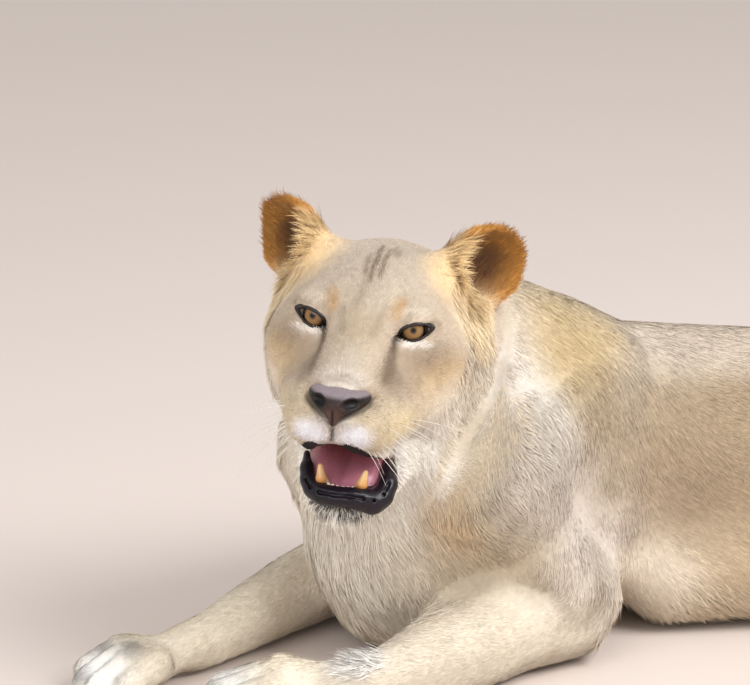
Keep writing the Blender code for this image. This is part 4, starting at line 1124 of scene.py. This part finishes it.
# Where each kind grows and how it departs from that.
hairRegions = {
    "hair_temples": dict(
        within=mirroredHead, lie=outward(-0.3, 0.35, -1.0), length=0.022, tint="f4dfb8", share=0.5, droop=0.12,
        patches=[
            ((-0.095, 0.098, 0.032), (0.030, 0.026, 0.028)),
            ((-0.092, 0.112, 0.002), (0.030, 0.020, 0.032)),
        ],
    ),
    "hair_cheeks": dict(
        within=mirroredHead, lie=outward(-0.75, 0.25, -0.85),
        length=0.018, tint="e6dccd", share=0.4, lift=16, droop=0.12,
        patches=[
            ((-0.070, 0.120, -0.050), (0.035, 0.026, 0.034)),
            ((-0.060, 0.110, -0.095), (0.045, 0.036, 0.030)),
            ((-0.030, 0.085, -0.130), (0.050, 0.034, 0.024)),
        ],
    ),
    "hair_ears": dict(
        within=inEar, lie=outward(0.15, 0.9, 0.25),
        length=0.025, tint="dcbf8c", share=0.7, lift=26, droop=0.02, wander=20,
        patches=[
            ((0.000, -0.040, -0.016), (0.026, 0.014, 0.032)),
            ((0.004, -0.020, -0.042), (0.024, 0.022, 0.012)),
        ],
    ),
    "hair_ear_cups": dict(
        within=inEar, lie=outward(0.1, 0.5, 0.6),
        length=0.015, tint="7c5228", share=0.5, lift=22, droop=0.02, density=400000,
        patches=[((-0.010, 0.004, 0.004), (0.024, 0.036, 0.036))],
    ),
    "hair_ear_rims": dict(
        within=inEar, length=0.008, width=0.0006, tint="b07c38", share=0.5, lift=34, droop=0.0,
        patches=[
            ((0.0, 0.0, 0.052), (0.03, 0.045, 0.014)),
            ((0.0, 0.050, 0.010), (0.03, 0.014, 0.045)),
        ],
    ),
    "hair_lip": dict(
        within=head.within, lie=outward(0.5, 0.25, -1.0),
        length=0.011, width=0.0008, tint="1d1719", share=0.92, lift=48, droop=0.10, wander=8,
        patches=[
            ((0.066, 0.004, -0.191), (0.030, 0.040, 0.0125)),
            ((0.045, 0.052, -0.183), (0.030, 0.016, 0.020)),
        ],
    ),
    "hair_chin": dict(
        within=head.within, lie=outward(0.35, 0.2, -1.0),
        length=0.022, width=0.0008, tint="ece6de", share=0.8, lift=30, droop=0.14,
        patches=[((0.040, 0.006, -0.212), (0.045, 0.046, 0.020))],
    ),
    "hair_breast": dict(
        within=inBench, length=0.030, width=0.0009, tint="e6dccd", share=0.3, lift=11, wander=15,
        density=300000,
        patches=[
            ((-0.030, -0.130, 0.150), (0.085, 0.080, 0.090)),
            ((0.040, -0.150, 0.120), (0.060, 0.050, 0.060)),
        ],
    ),
    "hair_throat": dict(
        within=inBench, length=0.024, width=0.0008, tint="ecdabc", share=0.5, lift=11, wander=13,
        density=320000,
        patches=[
            ((0.078, -0.158, 0.212), (0.040, 0.055, 0.072)),
            ((0.125, -0.130, 0.280), (0.035, 0.055, 0.060)),
        ],
    ),
    "hair_belly": dict(
        within=inBench, length=0.026, width=0.0010, tint="dccdb4", share=0.4, lift=11, density=160000,
        patches=[((0.440, -0.010, 0.040), (0.270, 0.090, 0.028))],
    ),
    "hair_wrist": dict(
        within=inBench, length=0.022, width=0.0009, tint="f6f3ee", share=0.85, lift=44, droop=0.0, wander=22,
        patches=[((-0.014, -0.262, 0.074), (0.022, 0.026, 0.020))],
    ),
    "hair_tail": dict(
        within=inBench, length=0.044, width=0.0012, tint="2c201a", share=0.8, lift=16, droop=0.03, wander=14,
        density=240000, patches=[(inBench(boxMiddle("tail_tip")), (0.075, 0.060, 0.050))],
    ),
}
for seed, (name, look) in enumerate(hairRegions.items()):
    look = {**hairLook, **look}
    local = look["within"](skinPoints)
    closeness = np.max([patchWeight(local, *patch, 0.35) for patch in look["patches"]], axis=0)
    faces = np.nonzero(faceOnTop & (closeness[skinFaces].max(axis=1) > 0.02))[0]
    count = limited(int(growth(faces, closeness).sum() * look["density"]), most["locks"])
    print(name, "locks", count)
    coats.append(strandPiece(name, scattered(faces, count, 300 + seed, closeness + 1e-6), look))


def shaped(name, shape, material):
    # a piece from finished mesh work
    made = bpy.data.meshes.new(name)
    shape.to_mesh(made)
    shape.free()
    made.materials.append(material)
    return placed(name, made)


# Eyes.
def eyePiece(name, side):
    eye, shape = eyes[side], bmesh.new()
    turn = Matrix(np.array((eye.left, eye.up, eye.forward)).T.tolist()).to_4x4()
    place = Matrix.Translation(eye.origin) @ turn
    bmesh.ops.create_uvsphere(shape, u_segments=64, v_segments=40, radius=pose["eyeRadius"], matrix=place)
    piece = shaped(name, shape, eyeMaterial)
    piece.data.shade_smooth()
    local = eye.within(vectorsOf(piece.data.vertices, "co", 3).astype(float)) / pose["eyeRadius"]
    angle = np.arctan2(np.hypot(local[:, 1], local[:, 2]), local[:, 0])
    layer = piece.data.attributes.new("fromPupil", "FLOAT", "POINT")
    layer.data.foreach_set("value", angle.astype(np.float32))
    return piece


def ramp(tree, place, stops):
    made = addNode(tree, "ValToRGB", place)
    elements = made.color_ramp.elements
    while len(elements) < len(stops):
        elements.new(0.5)
    for element, (spot, tint) in zip(elements, stops):
        element.position = spot
        element.color = (*colour(tint), 1)
    return made


eyeLook = {"Specular_IOR_Level": 0.1, "Coat_Weight": 0.6, "Coat_Roughness": 0.02}
eyeMaterial, tree, surface = newMaterial("eye", roughness=0.12, **eyeLook)
angle = addNode(tree, "Attribute", (-900, 0), attribute_name="fromPupil")
rings = ramp(tree, (-600, 0), [
    (0.0, "0a0806"), (0.13, "0c0907"), (0.155, "5d4630"), (0.30, "8f6c42"), (0.50, "83613a"),
    (0.62, "4a3520"), (0.68, "120c08"), (0.80, "1a110d"), (1.0, "2e211a"),
])
tree.links.new(angle.outputs["Fac"], rings.inputs["Fac"])
tree.links.new(rings.outputs["Color"], surface.inputs["Base Color"])
eyePieces = {side: eyePiece("eyeball_" + name, side) for name, side in sides}


def sculpted(name, clay, faces, material, tints):
    # a smooth piece from modelled clay, tinted from its places and its outward directions in the head's frame
    piece = thinned(newObject(name, *clay.mesh()), faces)
    piece.data.materials.append(material)
    piece.data.shade_smooth()
    points = vectorsOf(piece.data.vertices, "co", 3).astype(float)
    facing = vectorsOf(piece.data.vertices, "normal", 3).astype(float) @ head.rows.T
    paintPoints(piece, tints(points, facing))
    return piece


def plain(points, tint):
    return np.tile(colour(tint), (len(points), 1))


# The nose.
def nostrilSlit(side):
    return (0.127, side * 0.0220, -0.0630), (0.107, side * 0.0345, -0.0565)


noseClay = clayAround(head, (0.112, 0, -0.066), reach=0.044, voxel=0.0009)
blob(noseClay, head, (0.1105, 0, -0.0635), (0.0225, 0.0218, 0.0125), 0.004, tilt=0.25)
rod(noseClay, head, (0.118, 0, -0.070), (0.1215, 0, -0.0845), (0.0122, 0.0045), 0.007)
for _, side in sides:
    blob(noseClay, head, (0.1055, side * 0.0190, -0.0618), (0.0215, 0.0102, 0.0094), 0.006, -side * 0.55, 0.15)
for _, side in sides:
    nostril = (0.1275, side * 0.0172, -0.0640)
    blob(noseClay, head, nostril, (0.0150, 0.0078, 0.0060), 0.002, -side * 0.5, 0.1, cut=True)
    rod(noseClay, head, *nostrilSlit(side), (0.0048, 0.0020), 0.0015, cut=True)
rod(noseClay, head, (0.1345, 0, -0.072), (0.1262, 0, -0.089), (0.0010, 0.0014), 0.0015, cut=True)


def noseTints(points, facing):
    local = head.within(points)
    off, up = np.abs(local[:, 1]), local[:, 2]
    found = plain(points, "291a18")
    # the up-facing top painted paler grey-mauve: partly the leather's own tone, partly painted sheen where the
    # top faces the light
    found = painted(found, "82767b", smoothstep(0.35, 0.8, facing[:, 2]) * smoothstep(-0.061, -0.055, up))
    found = painted(found, "5c3d35", smoothstep(0.012, 0.003, off) * smoothstep(-0.064, -0.074, up) * 0.7)
    # the nostrils' insides painted near black as shade
    for _, side in sides:
        deep = cone(local, (0.114, side * 0.0150, -0.0630), (0.130, side * 0.0190, -0.0645), 0.0070, 0.0074)
        deep = np.minimum(deep, cone(local, *nostrilSlit(side), 0.0062, 0.0036))
        found = painted(found, "0d090a", smoothstep(0.0012, -0.0006, deep))
    return painted(found, "120c0c", smoothstep(0.0022, 0.0008, off) * smoothstep(-0.066, -0.074, up))


nosePiece = sculpted("nose_leather", noseClay, 22000, noseMaterial, noseTints)

# The tongue.
tongueClay = clayAround(jaw, (0.012, -0.004, -0.100), reach=0.088, voxel=0.0017)
blob(tongueClay, jaw, (0.005, -0.004, -0.103), (0.066, 0.0395, 0.016), 0.010, tilt=-0.05)
blob(tongueClay, jaw, (0.041, -0.004, -0.0995), (0.042, 0.0345, 0.013), 0.015, tilt=0.12)
for _, side in sides:
    back, front = (-0.02, side * 0.030 - 0.004, -0.093), (0.055, side * 0.024 - 0.004, -0.0965)
    rod(tongueClay, jaw, back, front, (0.010, 0.008), 0.010)
blob(tongueClay, jaw, (0.035, -0.004, -0.082), (0.070, 0.010, 0.007), 0.010, tilt=0.06, cut=True)


def tongueTints(points, _):
    ahead, aside = head.within(points)[:, 0], jaw.within(points)[:, 1] + 0.004
    # painted shade: the tongue deepens in colour towards its back and turns dark red there, where the mouth
    # closes over it
    found = painted(plain(points, "bd7689"), "984c55", smoothstep(0.045, 0.0, ahead) * 0.8)
    found = painted(found, "642628", smoothstep(0.010, -0.030, ahead))
    return painted(found, "9a5a6c", smoothstep(0.006, 0.001, np.abs(aside)) * 0.5)


tonguePiece = sculpted("tongue_flesh", tongueClay, 16000, tongueMaterial, tongueTints)

# The black lips, the gum and the floor of the mouth.
lowerLip = [
    (0.026, -0.0395, -0.1430, 0.0042), (0.042, -0.0349, -0.1558, 0.0060), (0.052, -0.0306, -0.1662, 0.0070),
    (0.060, -0.0228, -0.1731, 0.0085), (0.067, -0.0116, -0.1752, 0.0092), (0.071, 0.0031, -0.1748, 0.0092),
    (0.070, 0.0190, -0.1738, 0.0092), (0.065, 0.0313, -0.1755, 0.0097), (0.056, 0.0420, -0.1785, 0.0112),
    (0.047, 0.0500, -0.1727, 0.0100), (0.036, 0.0527, -0.1611, 0.0090), (0.022, 0.0502, -0.1512, 0.0072),
    (0.008, 0.0440, -0.1435, 0.0045),
]
upperEdge = [
    (0.040, -0.0370, -0.1375, 0.0008), (0.068, -0.0275, -0.1282, 0.0010), (0.090, -0.0155, -0.1170, 0.0014),
    (0.102, -0.0005, -0.1062, 0.0016), (0.090, 0.0100, -0.1146, 0.0018), (0.076, 0.0205, -0.1230, 0.0020),
    (0.060, 0.0320, -0.1285, 0.0020), (0.040, 0.0420, -0.1338, 0.0020), (0.014, 0.0480, -0.1415, 0.0020),
]
lipClay = clayAround(head, (0.035, 0.006, -0.150), reach=0.092, voxel=0.0013)
chain(lipClay, head, lowerLip, 0.009)
chain(lipClay, head, upperEdge, 0.002)
crease = [
    (ahead + radius * 0.95, aside * 1.04, up + radius * 0.35, 0.0012)
    for ahead, aside, up, radius in lowerLip[2:-2]
]
turns = np.radians(np.arange(-90, 91, 15))
gum = [(0.050 + 0.038 * math.cos(turn), 0.0262 * math.sin(turn), -0.1035, 0.0074) for turn in turns]
chain(lipClay, jaw, gum, 0.004)
blob(lipClay, jaw, (0.030, 0, -0.118), (0.058, 0.042, 0.012), 0.006)
for _, side in sides:
    low, high = (0.082, side * 0.0195, -0.1005), (0.0835, side * 0.0215, -0.0955)
    rod(lipClay, jaw, low, high, (0.0092, 0.0080), 0.003)
lipClay.field = blurred(lipClay.field, 1.5)
chain(lipClay, head, crease, 0.003, cut=True)


def lipTints(points, _):
    return painted(plain(points, "140e17"), "33242b", smoothstep(0.05, 0.0, head.within(points)[:, 0]) * 0.7)


lipPiece = sculpted("lips_and_gum", lipClay, 26000, lipMaterial, lipTints)

# The lower teeth.
toothClay = clayAround(jaw, (0.084, 0, -0.088), reach=0.036, voxel=0.0008)
for _, side in sides:
    root, waist = (0.080, side * 0.0190, -0.100), (0.085, side * 0.0220, -0.086)
    rod(toothClay, jaw, root, waist, (0.0072, 0.0061), 0.002)
    rod(toothClay, jaw, waist, (0.081, side * 0.0245, -0.0735), (0.0061, 0.0027), 0.001)
    for aside in (0.0032, 0.0085, 0.0132):
        root = (0.0905 - aside * 0.25, side * aside, -0.097)
        top = (0.0925 - aside * 0.25, side * aside, -0.0900)
        rod(toothClay, jaw, root, top, (0.0027, 0.0022), 0.0006)


def toothTints(points, _):
    aside, up = jaw.within(points)[:, 1:].T
    canine = smoothstep(0.0150, 0.0165, np.abs(aside))
    found = painted(plain(points, "e9dcc0"), "c98e4e", canine)
    found = painted(found, "e2bd86", canine * smoothstep(-0.086, -0.076, up) * 0.7)
    return painted(found, "8c5a34", smoothstep(-0.092, -0.099, up) * 0.8)


teethPiece = sculpted("lower_teeth_worn", toothClay, 12000, toothMaterial, toothTints)


def ringFaces(a, b, around):
    # quads from one ring of points to the next
    return [(a + k, a + (k + 1) % around, b + (k + 1) % around, b + k) for k in range(around)]


def closedCord(name, places, radii, material, tint):
    # a round cord through places, back to where it starts
    around = 10
    run = unit(np.roll(places, -1, axis=0) - np.roll(places, 1, axis=0))
    aslant = unit(np.cross(run, head.forward + 0.3 * head.up))
    other = np.cross(run, aslant)
    turns = np.linspace(0, 2 * math.pi, around, endpoint=False)
    ring = np.cos(turns)[None, :, None] * aslant[:, None] + np.sin(turns)[None, :, None] * other[:, None]
    points = (places[:, None] + ring * radii[:, None, None]).reshape(-1, 3)
    starts = range(0, len(points), around)
    faces = [face for start in starts for face in ringFaces(start, (start + around) % len(points), around)]
    piece = newObject(name, points, faces, material)
    piece.data.shade_smooth()
    paintPoints(piece, colour(tint))
    return piece


def lidRim(name, side):
    # the bare dark edge of the lids
    eye, tilt = head.within(eyes[side].origin), math.radians(lids["tilt"])
    turns = np.linspace(0, 2 * math.pi, 96, endpoint=False)
    x = lids["halfWidth"] * np.cos(turns) * 0.985
    y = np.where(np.sin(turns) >= 0, lidCurve(x, "upper"), -lidCurve(x, "lower"))
    aside = (x * math.cos(tilt) - y * math.sin(tilt) + lids["middle"][0]) * side
    up = x * math.sin(tilt) + y * math.cos(tilt) + lids["middle"][1]
    room = (pose["eyeRadius"] + 0.0013) ** 2 - (aside - eye[1]) ** 2 - (up - eye[2]) ** 2
    ahead = eye[0] + np.sqrt(np.maximum(room, 0.0095 ** 2))
    radii = 0.0016 + 0.0009 * smoothstep(0.6, 1.0, np.abs(np.cos(turns)))
    radii += 0.0005 * smoothstep(0, 0.5, np.sin(turns))
    places = np.stack([ahead, aside, up], axis=1) @ head.rows + head.origin
    return closedCord(name, places, radii, rimMaterial, "19110f")


rimPieces = {side: lidRim("lid_rim_" + name, side) for name, side in sides}

# Whiskers.
rng = np.random.default_rng(7)
whiskerPlaces, whiskerFaces = [], []
for (_, side), row, step in itertools.product(sides, range(4), range(6)):
    high = -0.079 - row * 0.0085 - step * 0.0014
    root = np.array((0.104 - step * 0.011, side * (0.027 + step * 0.0062), high))
    way = unit((-0.25 - 0.12 * step, side * 1.0, -0.15 - 0.22 * row + rng.normal(0, 0.12)))
    length, sag = rng.uniform(0.05, 0.10) * (0.7 + 0.08 * step), rng.uniform(0.010, 0.026)
    steps = np.linspace(0, 1, 8)
    line = root + way * (steps * length)[:, None] + np.array((-0.3, 0, -1.0)) * (steps ** 2 * sag)[:, None]
    line = line @ head.rows + head.origin
    run = np.gradient(line, axis=0)
    aslant = unit(np.cross(run, head.forward))
    other = unit(np.cross(run, aslant))
    radius = (0.00050 * (1 - steps) + 0.00012)[:, None]
    ring = [line + (aslant * math.cos(turn) + other * math.sin(turn)) * radius for turn in (0, 2.09, 4.19)]
    first = len(whiskerPlaces) * 24
    whiskerPlaces.append(np.stack(ring, axis=1).reshape(-1, 3))
    for a in range(first, first + 21, 3):
        whiskerFaces += ringFaces(a, a + 3, 3)
whiskers = newObject("whiskers", np.concatenate(whiskerPlaces), whiskerFaces, toothMaterial)
whiskers.data.shade_smooth()
paintPoints(whiskers, colour("f4efe6"))


# Floor, light and camera.
def plainFloor():
    shape = bmesh.new()
    bmesh.ops.create_grid(shape, x_segments=1, y_segments=1, size=9)
    material, _, surface = newMaterial("pale_floor", roughness=0.85)
    surface.inputs["Base Color"].default_value = (*colour("d9cdc6"), 1)
    shaped("floor", shape, material)


def softLight(name, place, size, power):
    light = bpy.data.lights.new(name, "AREA")
    light.size, light.energy = size, power
    made = placed(name, light)
    made.location = place
    made.rotation_euler = (Vector((0, 0, 0.2)) - Vector(place)).to_track_quat("-Z", "Y").to_euler()


plainFloor()
softLight("sun_side", (2.2, -1.6, 3.2), size=2.2, power=165)
softLight("front_fill", (-2.4, -3.4, 2.0), size=3.0, power=70)
scene = bpy.context.scene
scene.world = bpy.data.worlds.new("studio")
scene.world.use_nodes = True
background = scene.world.node_tree.nodes["Background"]
background.inputs["Color"].default_value = (*colour("f4f2f0"), 1)
background.inputs["Strength"].default_value = 0.80
scene.view_settings.view_transform = "Standard"

view = {"aside": 0.013, "back": 3.827, "above": 0.933, "down": 14, "lens": 177.6}
camera = placed("camera", bpy.data.cameras.new("camera"))
camera.location = Vector(head.origin) + Vector((view["aside"], -view["back"], view["above"]))
camera.rotation_euler = (math.radians(90 - view["down"]), 0, 0)
camera.data.lens = view["lens"]
camera.data.sensor_width = 36
scene.camera = camera

for piece in [skin, *coats]:
    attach(piece, "root")
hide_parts(*fleshNodes)
for name, side in sides:
    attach(eyePieces[side], "root")
    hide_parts("eye_" + name)
for piece, slot, replaced in (
    (nosePiece, "nose_leather", ["nose"]), (tonguePiece, "tongue", ["tongue"]),
    (teethPiece, "teeth", ["lower_teeth"]), (lipPiece, "nose_leather", []),
    (rimPieces[1], "nose_leather", []), (rimPieces[-1], "nose_leather", []), (whiskers, "coat", []),
):
    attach(piece, "root")
    if replaced:
        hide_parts(*replaced)
